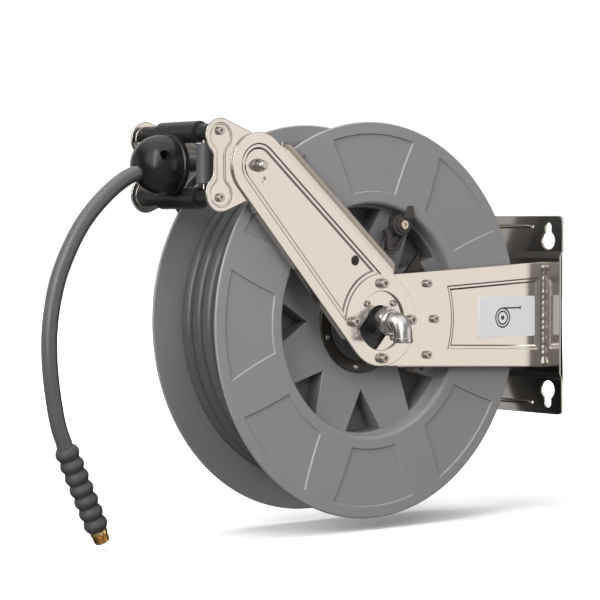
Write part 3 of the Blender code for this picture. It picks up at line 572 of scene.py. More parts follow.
def hose_nipple():
    """A brass end: a collar, a knurled band, a thread and a bored mouth."""
    start, end = (Vector(p) for p in upright([GRIP_START, GRIP_END]))
    heading = (end - start).normalized()
    length, knurled, knurl_depth = 0.016, (0.0005, 0.0052), 0.00035
    stations = [(0.0, 0.0085), (0.0, 0.01), (0.0006, 0.0106), (0.005, 0.0106), (0.0056, 0.01),
                (0.0058, 0.0089)]
    threads, first, pitch = 6, 0.0062, 0.0013
    for i in range(threads):
        at = first + i * pitch
        stations += [(at, 0.0088), (at + 0.00045, 0.0098), (at + 0.0007, 0.0098),
                     (at + 0.0012, 0.0088)]
    stations += [(length - 0.0018, 0.009), (length - 0.0006, 0.009), (length, 0.0084),
                 (length, 0.0066), (length - 0.0007, 0.006), (length - 0.006, 0.006)]
    across = Vector((0.0, 1.0, 0.0))
    up = heading.cross(across)
    sides = 40
    rings = []
    for s, r in stations:
        knurl = knurl_depth if knurled[0] < s < knurled[1] else 0.0
        ring = []
        for j in range(sides):
            a = 2 * pi * j / sides
            outwards = across * cos(a) + up * sin(a)
            ring.append(end + heading * (GAP + s) + outwards * (r - knurl * (j % 2)))
        rings.append(ring)
    return piece("hose_nipple", Shape().loft(rings), BRASS, sharp=30)


WOUND_LAYERS = (0.1588, 0.1796, 0.2005)
WOUND_TURNS = 6
WOUND_EDGE = 0.052
CROSSING = (-20.0, 16.0)  # where every turn steps over to the next, on the wall's side


def hose_winding():
    """Three layers of six turns, laid side by side and back again, closing on its last turn."""
    step, points, places = 5, [], []
    pitch = 2 * WOUND_EDGE / (WOUND_TURNS - 1)
    for layer, radius in enumerate(WOUND_LAYERS):
        ways = range(WOUND_TURNS) if layer % 2 == 0 else reversed(range(WOUND_TURNS))
        places += [(radius, -WOUND_EDGE + pitch * k) for k in ways]
    for now, after in zip(places, [*places[1:], places[-1]]):
        for i in range(0, 360, step):
            angle = CROSSING[1] + i
            t = smoothstep((angle - 360 - CROSSING[0]) / (CROSSING[1] - CROSSING[0]))
            x, z = polar(now[0] + (after[0] - now[0]) * t, angle)
            points.append((x + AXIS, now[1] + (after[1] - now[1]) * t, z))
    piece("hose_winding", Shape().sweep(points, HOSE_R, 12), RUBBER, sharp=60)


def hose_run():
    """The run lies down into the last turn at its start; it is hung on no body, with its place baked
    into its points.
    """
    last = hypot(*RUN_ROUTE[0])
    first_angle, last_angle, steps = 58.0, bearing(RUN_ROUTE[0]), 7
    points = []
    for i in range(steps):
        t = i / steps
        r = WOUND_LAYERS[-1] + (last - WOUND_LAYERS[-1]) * smoothstep(t)
        x, z = polar(r, first_angle + (last_angle - first_angle) * t)
        points.append((x, WOUND_EDGE + (RUN_SWAY[0] - WOUND_EDGE) * t, z))
    points += [(x, y, z) for (x, z), y in zip(RUN_ROUTE, RUN_SWAY)]
    route = smooth_route([(x + AXIS, y, z) for x, y, z in points], HOSE_R / 2)
    obj = piece("hose_run", Shape().sweep(route, HOSE_R, 24), RUBBER, blended=True, sharp=60)
    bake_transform(obj)


# Wall plate and its welds

KEYHOLE_X, KEYHOLE_Z, KEYHOLE_R = 0.08035, 0.0995, 0.01225
KEYHOLE_SLOT_R, KEYHOLE_SLOT_Z = 0.006, 0.1175
RIB_END, RIB_Z, RIB_R = 0.051, 0.118, 0.0028


def wall_plate():
    """A plate of two flat wings with keyholes and a rib each, and a raised middle."""
    raised, wing = PLATE_END - 0.004, PLATE_END
    joggle_low, joggle_high = 0.0775, 0.0845
    y, z = PLATE_HALF_WIDTH, PLATE_HALF_HEIGHT
    mouth = degrees(asin(KEYHOLE_SLOT_R / KEYHOLE_R))
    shape = Shape()
    for up in (-1, 1):
        fold, tip = up * joggle_high, up * z
        outline = anticlockwise([(-y, fold), (y, fold), (y, tip), (-y, tip)])
        outline = rounded(outline, [0 if abs(p[1]) < z else 0.008 for p in outline], 6)
        holes = []
        for side in (-1, 1):
            key = arc((side * KEYHOLE_X, KEYHOLE_Z), KEYHOLE_R, 90 + mouth, 450 - mouth, 28)
            key += arc((side * KEYHOLE_X, KEYHOLE_SLOT_Z), KEYHOLE_SLOT_R, 0, 180, 12)
            holes += [[(py, up * pz) for py, pz in key],
                      circle((side * RIB_END, up * RIB_Z), 0.0021, 16)]
        plate(shape, facing_wall, outline, wing - SHEET, wing, holes, edge=0.0006)
        reach, steps = RIB_END - 0.002, 24
        along = [2 * i / steps - 1 for i in range(steps + 1)]
        route = [(wing - SHEET - 0.0002 + AXIS, reach * t, up * RIB_Z) for t in along]
        shape.sweep(route, [RIB_R * sqrt(max(1 - abs(t) ** 8, 0.02)) for t in along], 16)
    half = [(raised, joggle_low), (wing, joggle_high + 0.0007)]
    front = [(x - SHEET, z - 0.0011) for x, z in half]
    section = [(wing, joggle_high + 0.0012), *reversed(half)]
    section += [(x, -z) for x, z in half] + [(wing, -joggle_high - 0.0012)]
    section += [(wing - SHEET, -joggle_high - 0.0001)] + [(x, -z) for x, z in reversed(front)]
    section += front + [(wing - SHEET, joggle_high + 0.0001)]
    section = anticlockwise(rounded(section, 0.0025, 4))
    bevel = 0.0006
    shape.loft([[(x + AXIS, at, z) for x, z in inset(section, shrink)]
                for at, shrink in ((-y, bevel), (-y + bevel, 0.0), (y - bevel, 0.0), (y, bevel))])
    piece("wall_plate", shape, WALL_STEEL)


def weld_beads():
    """Beads along the joints between the fork plates and the wall plate, lumpy at both ends."""
    top, bottom, count = 0.068, -0.066, 60
    for side, sign in SIDES.items():
        shape = Shape()
        for face, thick in ((FORK_FACE - 0.0004, 0.0046), (FORK_BACK - 0.0005, 0.0024)):
            points, radii = [], []
            for i in range(count + 1):
                t = i / count
                ripple = 1 + 0.06 * sin(i * 2.1) + 0.05 * sin(i * 0.9 + 1)
                end = smoothstep(min(t, 1 - t) / 0.02)
                blob = 1 + 0.7 * smoothstep(1 - min(t, 1 - t) / 0.09)
                x = -0.0078 + 0.0004 * sin(i * 1.7)
                points.append((x, sign * face, bottom + (top - bottom) * t))
                radii.append(max(thick * 0.8 * ripple * blob * (0.25 + 0.75 * end), 0.0004))
            shape.sweep(points, radii, 12)
        piece(f"weld_bead_{side}", shape, WELD, "frame", sharp=60)


# Screws, bolts and nuts

def level_ring(place, centre, r, h, segments):
    return [place(polar(r, 360 * i / segments, centre), h) for i in range(segments)]


def hexagonal_ring(place, centre, half_flats, h, segments, turn=0.0, cap=1.0):
    """A hexagon by half its width across flats, with its corners cut back to a cap."""
    points = []
    for i in range(segments):
        a = 360 * i / segments
        reach = min(half_flats / cos(radians((a - turn + 30) % 60 - 30)), cap)
        points.append(place(polar(reach, a, centre), h))
    return points


# Each screw's head radius and height, its socket's width and depth, and its shank's radius and length
SCREWS = {
    "arm bolt": (0.0056, 0.0068, 0.0052, 0.0036, 0.004, 0.0125),
    "pivot bolt": (0.008, 0.0048, 0.004, 0.001, 0.0, 0.0),
    "retainer screw": (0.0042, 0.003, 0.0045, 0.002, 0.0, 0.0),
    "cam bolt": (0.005, 0.0055, 0.004, 0.0028, 0.003, 0.012),
    "hub screw": (0.0036, 0.0016, 0.0028, 0.001, 0.0, 0.0),
    "pawl screw": (0.0062, 0.0024, 0.0042, 0.0018, 0.004, 0.026),
    "guide screw": (0.005, 0.0042, 0.004, 0.0026, 0.0, 0.0),
    "ball screw": (0.0052, 0.006, 0.004, 0.003, 0.003, 0.032),
}


def hex_screw(shape, kind, centre, side, seat, segments=30):
    """A cap head with a chamfered rim and a hexagon socket, on a shank that runs inwards."""
    head_r, head, socket, deep, shank_r, length = SCREWS[kind]
    place, top = on_side(side), seat + head
    profile = [(shank_r, seat - length), (shank_r, seat)] if length else []
    profile += [(head_r, seat), (head_r, top - 0.0008), (head_r - 0.0003, top - 0.0003),
                (head_r - 0.0009, top)]
    rings = [level_ring(place, centre, r, h, segments) for r, h in profile]
    for r, h in ((socket / 2 + 0.0003, top), (socket / 2, top - 0.0003), (socket / 2, top - deep)):
        rings.append(hexagonal_ring(place, centre, r, h, segments))
    return shape.loft(rings)


def hex_nut(shape, place, across_flats, low, high, bore, turn=0.0, centre=(0.0, 0.0), segments=48):
    """A bored hexagon nut whose corners are chamfered at both faces."""
    half = across_flats / 2
    tip = half / cos(pi / 6)
    fall = (tip - half) * 0.6
    rings = [hexagonal_ring(place, centre, half, h, segments, turn, cap)
             for h, cap in ((low, half + 0.0001), (low + fall, tip), (high - fall, tip),
                            (high, half + 0.0001))]
    rings += [level_ring(place, centre, r, h, segments)
              for h, r in ((high, bore + 0.0008), (high - 0.0008, bore), (low + 0.0008, bore),
                           (low, bore + 0.0008))]
    return shape.loft(rings, closed=True)


def thread(shape, place, centre, radius, low, high, pitch=0.0012):
    """A threaded stud with ridged flanks and a chamfered end."""
    root = radius - 0.0006
    profile = [(root, low)]
    for k in range(int((high - low - 0.0008) / pitch)):
        profile += [(r, low + (k + part) * pitch)
                    for part, r in ((0.1, root), (0.5, radius), (0.6, radius))]
    profile += [(radius - 0.0003, high - 0.0006), (radius - 0.001, high)]
    return shape.loft([level_ring(place, centre, r, h, 28) for r, h in profile])


def bolt_holes():
    return [circle(polar(BOLT_CIRCLE_R, a), BOLT_HOLE_R, 16) for a in BOLT_ANGLES]


def retainer_screws():
    """Three screws that hold the axle retainer behind each fork plate's eye."""
    for side in SIDES:
        shape = Shape()
        for angle in (45, 135, 315):
            hex_screw(shape, "retainer screw", polar(RETAINER_SCREW_R, angle), side, FORK_FACE)
        piece(f"retainer_screws_{side}", shape, BOLT_STEEL, "frame")


RIVET_MARKS = (((-0.1856, 0.1763), 0.0022), ((-0.1883, 0.1718), 0.0012))  # each a place and a radius


def fasteners():
    for side, sign in SIDES.items():
        place = on_side(side)
        for number, angle in enumerate(BOLT_ANGLES, 1):
            centre, seat = polar(BOLT_CIRCLE_R, angle), ARM_FACE + 0.001
            shape = disc(Shape(), place, centre, 0.0072, 0.0042, ARM_FACE, seat)
            hex_screw(shape, "arm bolt", centre, side, seat)
            piece(f"arm_bolt_{side}_{number}", shape, BOLT_STEEL)
        floor = ARM_FACE - ARM_PRESS
        shape = disc(Shape(), place, PIVOT, 0.0084, 0.0054, floor, floor + 0.0012)
        hex_nut(shape, place, 0.0135, floor + 0.0012, ARM_FACE + 0.0058, 0.0051, 12, PIVOT)
        piece(f"guide_pivot_nut_{side}", shape, BOLT_STEEL)
        shape = thread(Shape(), place, PIVOT, 0.005, FORK_BACK, 0.0925)
        hex_screw(shape, "pivot bolt", PIVOT, side, 0.0695)
        piece(f"guide_pivot_bolt_{side}", shape, BOLT_STEEL)
        rivet = Shape()
        for (x, z), r in RIVET_MARKS:
            dome = [(0.0, floor + 0.4 * r), (0.5 * r, floor + 0.36 * r), (0.85 * r, floor + 0.2 * r),
                    (r, floor), (0.0, floor)]
            rivet.turned(dome, centre=(x, 0.0, z), segments=20, sign=sign)
        piece(f"arm_rivets_{side}", rivet, BOLT_STEEL, "frame")
    for number, angle in enumerate(CAM_BOLT_ANGLES, 1):
        shape = hex_screw(Shape(), "cam bolt", polar(CAM_BOLT_R, angle), "inlet", FORK_FACE)
        piece(f"cam_bolt_{number}", shape, BOLT_STEEL)
    nut = hex_nut(Shape(), on_side("spring"), 0.046, FORK_FACE + GAP, FORK_FACE + 0.0103, 0.0121, 20)
    piece("axle_nut", nut, BOLT_STEEL)


# Fork

def fork_outline():
    """The fork plate's outline: an eye with an open slot, widening towards the wall plate."""
    slot_r, slot_angle, end = 0.01925, 228, PLATE_END - 0.0073
    notch = degrees(asin(slot_r / FORK_R))
    outline = arc((0, 0), FORK_R, 92.6, slot_angle - notch, 40)
    outline += arc((0, 0), slot_r, slot_angle - 90, slot_angle - 270, 24)
    outline += arc((0, 0), FORK_R, slot_angle + notch, 267.8, 8)
    return outline + [(end, -0.068), (end, 0.0706)]


def fork_plates():
    """Two plates with a pressed panel each, and a lip along the top and the bottom edge."""
    end = PLATE_END - 0.0076
    # each lip: the edge's two ends, how far it goes in from there, and where it starts
    lips = (((-0.0026, 0.0574), (end, 0.071), -SHEET, 0.15),
            ((-0.0022, -0.0583), (end, -0.0693), SHEET, 0.03))
    panel = arc((0, 0), 0.1205, -19.5, 20.6, 14) + [(0.281, 0.0512), (0.281, -0.046)]
    panel = rounded(panel, [0.003] + [0] * 13 + [0.003, 0.005, 0.005], 5)
    for side in SIDES:
        place = on_side(side)
        screw_angles = CAM_BOLT_ANGLES if side == "inlet" else (0,)
        holes = bolt_holes() + [circle(polar(CAM_BOLT_R, a), SCREW_HOLE_R, 16) for a in screw_angles]
        shape = plate(Shape(), place, fork_outline(), FORK_BACK, FORK_FACE, holes,
                      [(panel, 0.0072, 0.0019)])
        for (x0, z0), (x1, z1), inward, start in lips:
            strip = [(x, z0 + (z1 - z0) / (x1 - x0) * (x - x0)) for x in (start, end)]
            strip += [(x, z + inward) for x, z in reversed(strip)]
            plate(shape, place, strip, FORK_BACK - 0.005, FORK_FACE - 0.0001, edge=0.0012)
        piece(f"fork_plate_{side}", shape, FORK_STEEL)


def label():
    """A plain film with a hose-reel symbol, and no lettering."""
    low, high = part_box("label_plate")
    low_x, high_x = low.x - AXIS, high.x - AXIS
    outline = [(low_x, low.z), (high_x, low.z), (high_x, high.z), (low_x, high.z)]
    place = on_side("inlet")
    base, face = FORK_FACE - 0.0019, FORK_FACE - 0.001
    piece("label_plate", plate(Shape(), place, rounded(outline, 0.003), base, face, edge=0.0001), FILM)
    ink, top, edge = Shape(), face + 0.0001, 0.00003
    x, z = (low_x + high_x) / 2 - 0.008, (low.z + high.z) / 2 - 0.001
    for outer, inner in ((0.0135, 0.0115), (0.0095, 0.0075)):
        disc(ink, place, (x, z), outer, inner, face, top, edge, 40)
    plate(ink, place, circle((x, z), 0.003, 24), face, top, edge=edge)
    nozzle = [(0.000, 0.0115), (0.03, 0.0115), (0.033, 0.0095), (0.033, 0.0155), (0.03, 0.0135),
              (0.000, 0.0135)]
    plate(ink, place, [(x + u, z + v) for u, v in nozzle], face, top, edge=edge)
    piece("label_symbol", ink, INK, "frame")


# Arms

def hull(first, first_r, second, second_r, steps):
    """The outline round two circles, anticlockwise, and the angles of its tangent points."""
    between = Vector(second) - Vector(first)
    spread = degrees(acos((first_r - second_r) / between.length))
    right, left = bearing(between) - spread, bearing(between) + spread
    outline = arc(first, first_r, left, right + 360, steps)
    return outline + arc(second, second_r, right, left, steps), right, left


def arm_panel(margin, hub_r):
    """The pressed panel's outline: round at the pivot, hollow towards the hub."""
    near = FORK_R - margin
    _, right, left = hull((0, 0), near, PIVOT, ARM_TIP_R - margin, 28)
    along = sqrt(hub_r**2 - near**2)
    ends = [bearing(Vector(polar(near, angle)) + Vector(polar(along, angle + turn))) % 360
            for angle, turn in ((left, -90), (right, 90))]
    tip = arc(PIVOT, ARM_TIP_R - margin, right, left, 30)
    foot = arc((0, 0), hub_r, *ends, 14)
    radii = [0.0] * (len(tip) + len(foot))
    radii[len(tip)] = radii[-1] = 0.004
    return rounded(tip + foot, radii, 6)


# Across the long lip from the arm's edge, each with how far it has dropped
LIP_BEND = [(-0.005, 0.0004), (0.0004, 0.0004), (0.0011, 0.002), (0.0035, 0.0024),
            (0.0065, 0.0031), (0.01, 0.0044), (0.0138, 0.0062), (0.0168, 0.0084)]


def arms():
    outline, right, left = hull((0, 0), FORK_R, PIVOT, ARM_TIP_R, 36)
    panel = arm_panel(ARM_MARGIN, FORK_R + 0.0005)
    holes = [circle((0, 0), EYE_R, 56), circle(PIVOT, PIVOT_HOLE_R, 24),
             circle((-0.0423, 0.076), 0.006, 28), *bolt_holes()]
    edges = []
    for angle in (right, left):
        start, end = Vector(polar(FORK_R, angle)), Vector(polar(ARM_TIP_R, angle, PIVOT))
        edges.append((start, (end - start).normalized(), Vector(polar(1, angle)), (end - start).length))
    start, heading, normal, length = edges[1]
    ends = [start + heading * s for s in (0.021, length - 0.029)]
    ends += [p - normal * SHEET for p in reversed(ends)]
    wall = rounded(ends, 0.0012, 3)
    start, heading, normal, length = edges[0]
    section = [(across, ARM_FACE - drop) for across, drop in LIP_BEND]
    section += [(across - 0.0006, ARM_FACE - drop - 0.0021) for across, drop in reversed(LIP_BEND)]
    radii = [0.0008] + [0] * 6 + [0.0009, 0.0009] + [0] * 6 + [0.0008]
    section = anticlockwise(rounded(section, radii, 3))
    # how far along the edge each ring stands, its bevel, and how wide the lip is there
    stations = ((0.0225, 0.0007, 0.8), (0.0232, 0, 0.84), (0.0262, 0, 1.0), (length - 0.024, 0, 1.0),
                (length - 0.012, 0, 0.55), (length - 0.0113, 0.0007, 0.5))
    for side, sign in SIDES.items():
        place = on_side(side)
        shape = plate(Shape(), place, outline, ARM_FACE - SHEET, ARM_FACE, holes,
                      [(panel, 0.0085, ARM_PRESS)], edge=0.0009)
        plate(shape, place, wall, ARM_FACE - SHEET - 0.0077, ARM_FACE - 0.00005, edge=0.0011)
        rings = []
        for s, trim, reach in stations:
            ring = []
            for across, h in inset(section, trim):
                p = start + heading * s + normal * (across * (reach if across > 0 else 1.0))
                ring.append((p.x + AXIS, sign * h, p.y))
            rings.append(ring)
        shape.loft(rings)
        piece(f"guide_arm_{side}", shape, STAINLESS)


# Axle, retainers and the inlet elbow

def axle_parts():
    end, bore, mouth, bottom = 0.093, 0.0065, -0.08545, -0.022
    profile = [(0.0, end), (0.0108, end), (0.012, end - 0.0012), (0.012, -0.085), (0.0115, mouth),
               (bore, mouth), (bore, bottom), (0.0, bottom)]
    piece("drum_axle", Shape().turned(profile), NICKEL)
    low, high = FORK_BACK - GAP - 0.006, FORK_BACK - GAP
    ring = [(0.0123, low), (0.037, low), (0.038, low + 0.001), (0.038, high - 0.001), (0.037, high),
            (0.025, high), (0.024, high - 0.0015), (0.018, high - 0.0015), (0.017, high),
            (0.0123, high)]
    for side, sign in SIDES.items():
        piece(f"axle_retainer_{side}", Shape().turned(ring, sign=sign), BLACK)
    nut = hex_nut(Shape(), on_side("inlet"), 0.0326, 0.08575, 0.0978, 0.0093, 8)
    collar = [(0.0093, 0.0972), (0.014, 0.0972), (0.0148, 0.098), (0.0148, 0.1012),
              (0.0138, 0.1034), (0.0093, 0.1036)]
    piece("inlet_union_nut", nut.turned(collar, sign=-1), NICKEL)


def elbow():
    """A street elbow: a stem, a swelling bend, and a beaded, bored outlet that points down."""
    leg, low, bend_r = 0.1209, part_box("inlet_elbow")[0].z, 0.0135
    body_r, bead_r, sides = 0.0114, 0.0123, 36
    # each station: its place in Y and Z, its radius, and how far the route has turned down
    stations = [(-0.0862, 0.0, 0.0087, 0), (-0.1038, 0.0, 0.0087, 0), (-0.1045, 0.0, bead_r, 0),
                (-0.1068, 0.0, bead_r, 0)]
    for turn in range(0, 91, 9):
        a = radians(turn)
        stations.append((-(leg - bend_r) - bend_r * sin(a), bend_r * cos(a) - bend_r, body_r, turn))
    stations += [(-leg, z, r, 90) for z, r in (
        (low + 0.0062, body_r), (low + 0.0056, bead_r), (low + 0.0012, bead_r), (low, bead_r - 0.0006),
        (low + 0.00001, 0.0094), (low + 0.0012, 0.0084), (low + 0.01, 0.008))]
    rings = []
    for y, z, r, turn in stations:
        up = Vector((0.0, -sin(radians(turn)), cos(radians(turn))))
        rings.append(round_section(Vector((AXIS, y, z)), Vector((1.0, 0.0, 0.0)), up, r, sides))
    piece("inlet_elbow", Shape().loft(rings), NICKEL, sharp=42)


# Drum

SECTOR = 45.0
SECTORS = 8
PLAIN_STEPS = 4
FEATURE_STEPS = 10
WINDOW_TIP = 0.088
WINDOW_BASE = 0.1425
WINDOW_HALF = 11.8
WINDOW_STEPS = (0.0, 0.06, 0.15, 0.3, 0.5, 0.7, 0.85, 1.0)
WINDOW_LIP = 0.0009
WEB_THICK = 0.0036
PANEL_IN, PANEL_OUT = 0.163, 0.2335
PANEL_HALF = (12.5, 16.3)


def sector_columns(half, edge):
    """Angles across one sector: plain ground, a feature with an edge on each side, and ground."""
    side = [-SECTOR / 2 + (SECTOR / 2 - half - edge) * i / PLAIN_STEPS for i in range(PLAIN_STEPS)]
    inner = [-half + 2 * half * i / FEATURE_STEPS for i in range(FEATURE_STEPS + 1)]
    return [*side, -half - edge, *inner, half + edge, *[-a for a in reversed(side[1:])]]


def web_height(r):
    return WEB_HUB + (WEB_EDGE - WEB_HUB) * (r - 0.0675) / (0.1435 - 0.0675)


def window_at(t):
    """The radius and half angle of a window's side, from its tip at 0 to its base at 1."""
    base = polar(WINDOW_BASE, WINDOW_HALF)
    side = (WINDOW_TIP + (base[0] - WINDOW_TIP) * t, base[1] * t)
    return hypot(*side), bearing(side)


def flange_rows():
    """Rows of (radius, height, feature's half angle, edge's angle, feature's sink, open)."""
    hub_in, tip, base = 0.0245, WINDOW_TIP - WINDOW_LIP, WINDOW_BASE + WINDOW_LIP
    rows = [(r, WEB_HUB, 0.5, 0.5, 0, False) for r in (hub_in, 0.066)]
    rows += [(r, web_height(r), half, 0.5, 0, False)
             for r, half in ((0.07, 0.5), (0.082, 0.3), (tip, 0.05))]
    for t in WINDOW_STEPS:
        r, half = window_at(t)
        rows.append((r, web_height(r), max(half, 0.05), degrees(WINDOW_LIP / r), WINDOW_LIP, True))
    rows.append((base, web_height(base), WINDOW_HALF, degrees(WINDOW_LIP / base), 0, False))

    def bend(steps, height, half, spot):
        """Rows round a bend, whose place at each angle comes from its sine and cosine."""
        for a in steps:
            r, h = spot(sin(radians(a)), cos(radians(a)))
            rows.append((r, height + h, half, 0.4, 0, False))

    quarter, foot, brow, rim = range(0, 91, 15), 0.0022, 0.0048, 0.0019
    bend(quarter, WEB_EDGE, WINDOW_HALF, lambda s, c: (WELL_R - foot + foot * s, foot * (1 - c)))
    bend(quarter, FLANGE_FACE, WINDOW_HALF, lambda s, c: (WELL_R + brow * (1 - c), -brow * (1 - s)))
    edge, sink = 0.0014, 0.0017
    rows.append((PANEL_IN - edge, FLANGE_FACE, PANEL_HALF[0], degrees(edge / PANEL_IN), 0, False))
    for t in (0.0, 0.25, 0.5, 0.75, 1.0):
        r = PANEL_IN + (PANEL_OUT - PANEL_IN) * t
        half = PANEL_HALF[0] + (PANEL_HALF[1] - PANEL_HALF[0]) * t
        rows.append((r, FLANGE_FACE, half, degrees(edge / r), sink, False))
    rows.append((PANEL_OUT + edge, FLANGE_FACE, PANEL_HALF[1], degrees(edge / PANEL_OUT), 0, False))
    quarter = (0, 22, 45, 67, 90)
    bend(quarter, FLANGE_FACE, PANEL_HALF[1], lambda s, c: (FLANGE_R - rim + rim * s, -rim * (1 - c)))
    bend(reversed(quarter), FLANGE_BACK, PANEL_HALF[1],
         lambda s, c: (FLANGE_R - rim + rim * s, rim * (1 - c)))
    rows.append((0.2, FLANGE_BACK, PANEL_HALF[0], 0.4, 0, False))
    rows += [(r, h, WINDOW_HALF, 0.4, 0, False) for r, h in (
        (0.149, FLANGE_BACK), (0.149, WEB_EDGE), (0.1457, WEB_EDGE), (0.1457, WEB_EDGE - 0.004),
        (0.144, web_height(0.144) - WEB_THICK))]
    for t in reversed(WINDOW_STEPS):
        r, half = window_at(t)
        rows.append((r, web_height(r) - WEB_THICK, max(half, 0.05), degrees(WINDOW_LIP / r), 0, True))
    rows.append((0.08, web_height(0.08) - WEB_THICK, 0.3, 0.5, 0, False))
    return rows + [(r, WEB_HUB - SHEET, 0.5, 0.5, 0, False) for r in (0.0675, hub_in)]


def flange(side):
    """A moulded flange with eight windows and eight sunk panels, and pockets behind the near ones,
    floored and coloured a darker grey that paints the shade inside them.
    """
    sign, rows = SIDES[side], flange_rows()
    points, faces = [], []
    first = PLAIN_STEPS + 1
    for r, h, half, edge, sink, _ in rows:
        for sector in range(SECTORS):
            for j, angle in enumerate(sector_columns(half, edge)):
                x, z = polar(r, sector * SECTOR + angle)
                drop = sink if first <= j <= first + FEATURE_STEPS else 0.0
                points.append((x + AXIS, sign * (h - drop), z))
    columns = len(points) // len(rows)
    each = columns // SECTORS
    for i in range(len(rows)):
        after = (i + 1) % len(rows)
        gone = rows[i][5] and rows[after][5]
        for j in range(columns):
            if gone and first <= j % each < first + FEATURE_STEPS:
                continue
            k = (j + 1) % columns
            faces.append((i * columns + j, i * columns + k, after * columns + k, after * columns + j))
    shape = Shape().add(points, faces)
    walled, depth = shape, 0.001
    # The inlet's pocket walls and their floor ring take the darker grey, as painted shade.
    if side == "inlet":
        depth = 0.017
        floor = WEB_HUB - SHEET - depth + 0.0008
        ring = [(0.083, floor), (0.1445, floor), (0.1445, floor - 0.001), (0.083, floor - 0.001)]
        walled = Shape().turned(ring, segments=72, sign=sign)
    for sector in range(SECTORS):
        window_walls(walled, sign, sector * SECTOR, depth)
    if side == "inlet":
        piece("window_pockets", walled, POCKET_PAINTED_SHADE, "drum", sharp=34)
    piece(f"drum_flange_{side}", shape, DRUM_GREY, sharp=34)


def window_walls(shape, sign, turn, depth):
    """The walls that run in from a window's edge, as a closed triangular sleeve."""
    loop = [window_at(t) for t in WINDOW_STEPS]
    line = [(r, -half) for r, half in loop]
    line += [(WINDOW_BASE, -WINDOW_HALF + 2 * WINDOW_HALF * i / FEATURE_STEPS)
             for i in range(1, FEATURE_STEPS)]
    line += [(r, half) for r, half in reversed(loop[1:])]
    flat = anticlockwise([polar(r, a) for r, a in line])
    bottom = WEB_HUB - SHEET - depth
    rings = []
    # each ring: how far outside the window's edge it runs, and how far below the web or, at the
    # bottom, at what height
    for grow, drop, floor in ((0.0, WINDOW_LIP, None), (-0.0004, 0.004, None), (-0.0008, 0, bottom),
                              (0.0014, 0, bottom), (0.0014, 0.003, None), (0.0006, 0.0025, None)):
        ring = []
        for spot in inset(flat, -grow):
            r = hypot(*spot)
            x, z = polar(r, bearing(spot) + turn)
            ring.append((x + AXIS, sign * (web_height(r) - drop if floor is None else floor), z))
        rings.append(ring)
    shape.loft(rings, closed=True)


def drum_middle():
    """The barrel, and on it the hub rings, the bushes and the power spring's case."""
    half, face = WEB_EDGE - GAP, WEB_HUB + GAP
    ring = [(WELL_R, -half), (WELL_R + 0.003, -half), (WELL_R + 0.003, half), (WELL_R, half)]
    piece("drum_barrel", Shape().turned(ring, segments=96), DRUM_GREY)
    ring = [(0.052, face), (0.067, face), (0.067, face + 0.0019), (0.0659, face + 0.003),
            (0.0535, face + 0.003), (0.052, face + 0.0015)]
    bush = [(0.0123, 0.0325), (0.024, 0.0325), (0.024, face), (0.051, face), (0.051, face + 0.0015),
            (0.05, face + 0.002), (0.033, face + 0.002), (0.032, face + 0.0035),
            (0.021, face + 0.0035), (0.02, face + 0.005), (0.02, 0.0455), (0.0195, 0.046),
            (0.0123, 0.046)]
    for side, sign in SIDES.items():
        piece(f"hub_ring_{side}", Shape().turned(ring, segments=96, sign=sign), HUB_BLACK)
        screws = Shape()
        for i in range(6):
            centre = polar(HUB_SCREW_R, 20 + 60 * i)
            hex_screw(screws, "hub screw", centre, side, face + 0.0028, segments=24)
        piece(f"hub_screws_{side}", screws, BOLT_STEEL, "drum")
        piece(f"hub_bush_{side}", Shape().turned(bush, segments=72, sign=sign), DARK_GREY)
    outer, wall, start, end, hub_r, lid_r = 0.118, 0.002, 0.002, 0.033, 0.014, 0.0247
    case = [(hub_r, start), (outer - 0.002, start), (outer, start + 0.002), (outer, end),
            (outer - wall, end), (outer - wall, start + wall), (hub_r, start + wall)]
    lid = [(lid_r, end + GAP), (outer, end + GAP), (outer, end + 0.0017),
           (outer - 0.0005, end + 0.0023), (lid_r, end + 0.0023)]
    for name, profile in (("spring_case", case), ("spring_case_lid", lid)):
        piece(name, Shape().turned(profile, segments=72), DARK_STEEL)


# Ratchet

def ratchet_cam():
    """A toothed sector on stand-off bosses, with a hooked tooth at the end of each step."""
    teeth, rise, low, high, rim = 4, 0.006, -38.0, 47.0, 0.1145
    step = (high - low) / teeth
    outline = []
    for i in range(teeth):
        start = low + i * step
        outline += arc((0, 0), rim - rise, start, start + step * 0.7, 6)
        outline += [polar(rim, start + step * 0.94), polar(rim, start + step)]
    outline += arc((0, 0), 0.066, high, low, 20)
    place = on_side("inlet")
    centres = [polar(CAM_BOLT_R, a) for a in CAM_BOLT_ANGLES]
    holes = [circle(centre, SCREW_HOLE_R, 16) for centre in centres]
    shape = plate(Shape(), place, outline, 0.0585, 0.0625, holes, edge=0.0006)
    for centre in centres:
        disc(shape, place, centre, 0.008, SCREW_HOLE_R, 0.062, FORK_BACK - GAP, 0.0004, 28)
    plate(shape, place, circle((0.0635, -0.06), 0.0092, 32), 0.059, 0.0622, edge=0.0006)
    piece("ratchet_cam", shape, DARK_STEEL)


PAWL = polar(0.13, 67.5)
PAWL_TAB = ((-0.001, 0.0085), (0.0115, 0.0065), (0.0165, 0.0135), (0.0135, 0.0245), (0.0055, 0.024))
PAWL_NECK = ((-0.004, 0.006), (0.01, 0.004), (0.0105, 0.0128), (0.0, 0.014))
PAWL_TAIL = ((-0.0105, 0.004), (-0.012, -0.004), (-0.0235, -0.0065), (-0.024, -0.0085),
             (-0.0205, -0.013), (-0.02, -0.032), (0.0000, -0.033), (0.0125, -0.0105),
             (0.006, -0.002))
PAWL_HOLLOW = ((-0.012, -0.013), (0.006, -0.013), (-0.005, -0.029), (-0.012, -0.029))
PAWL_FOOT = ((-0.0215, -0.035), (0.001, -0.037), (0.016, -0.012), (0.008, 0.000), (-0.01, -0.012))


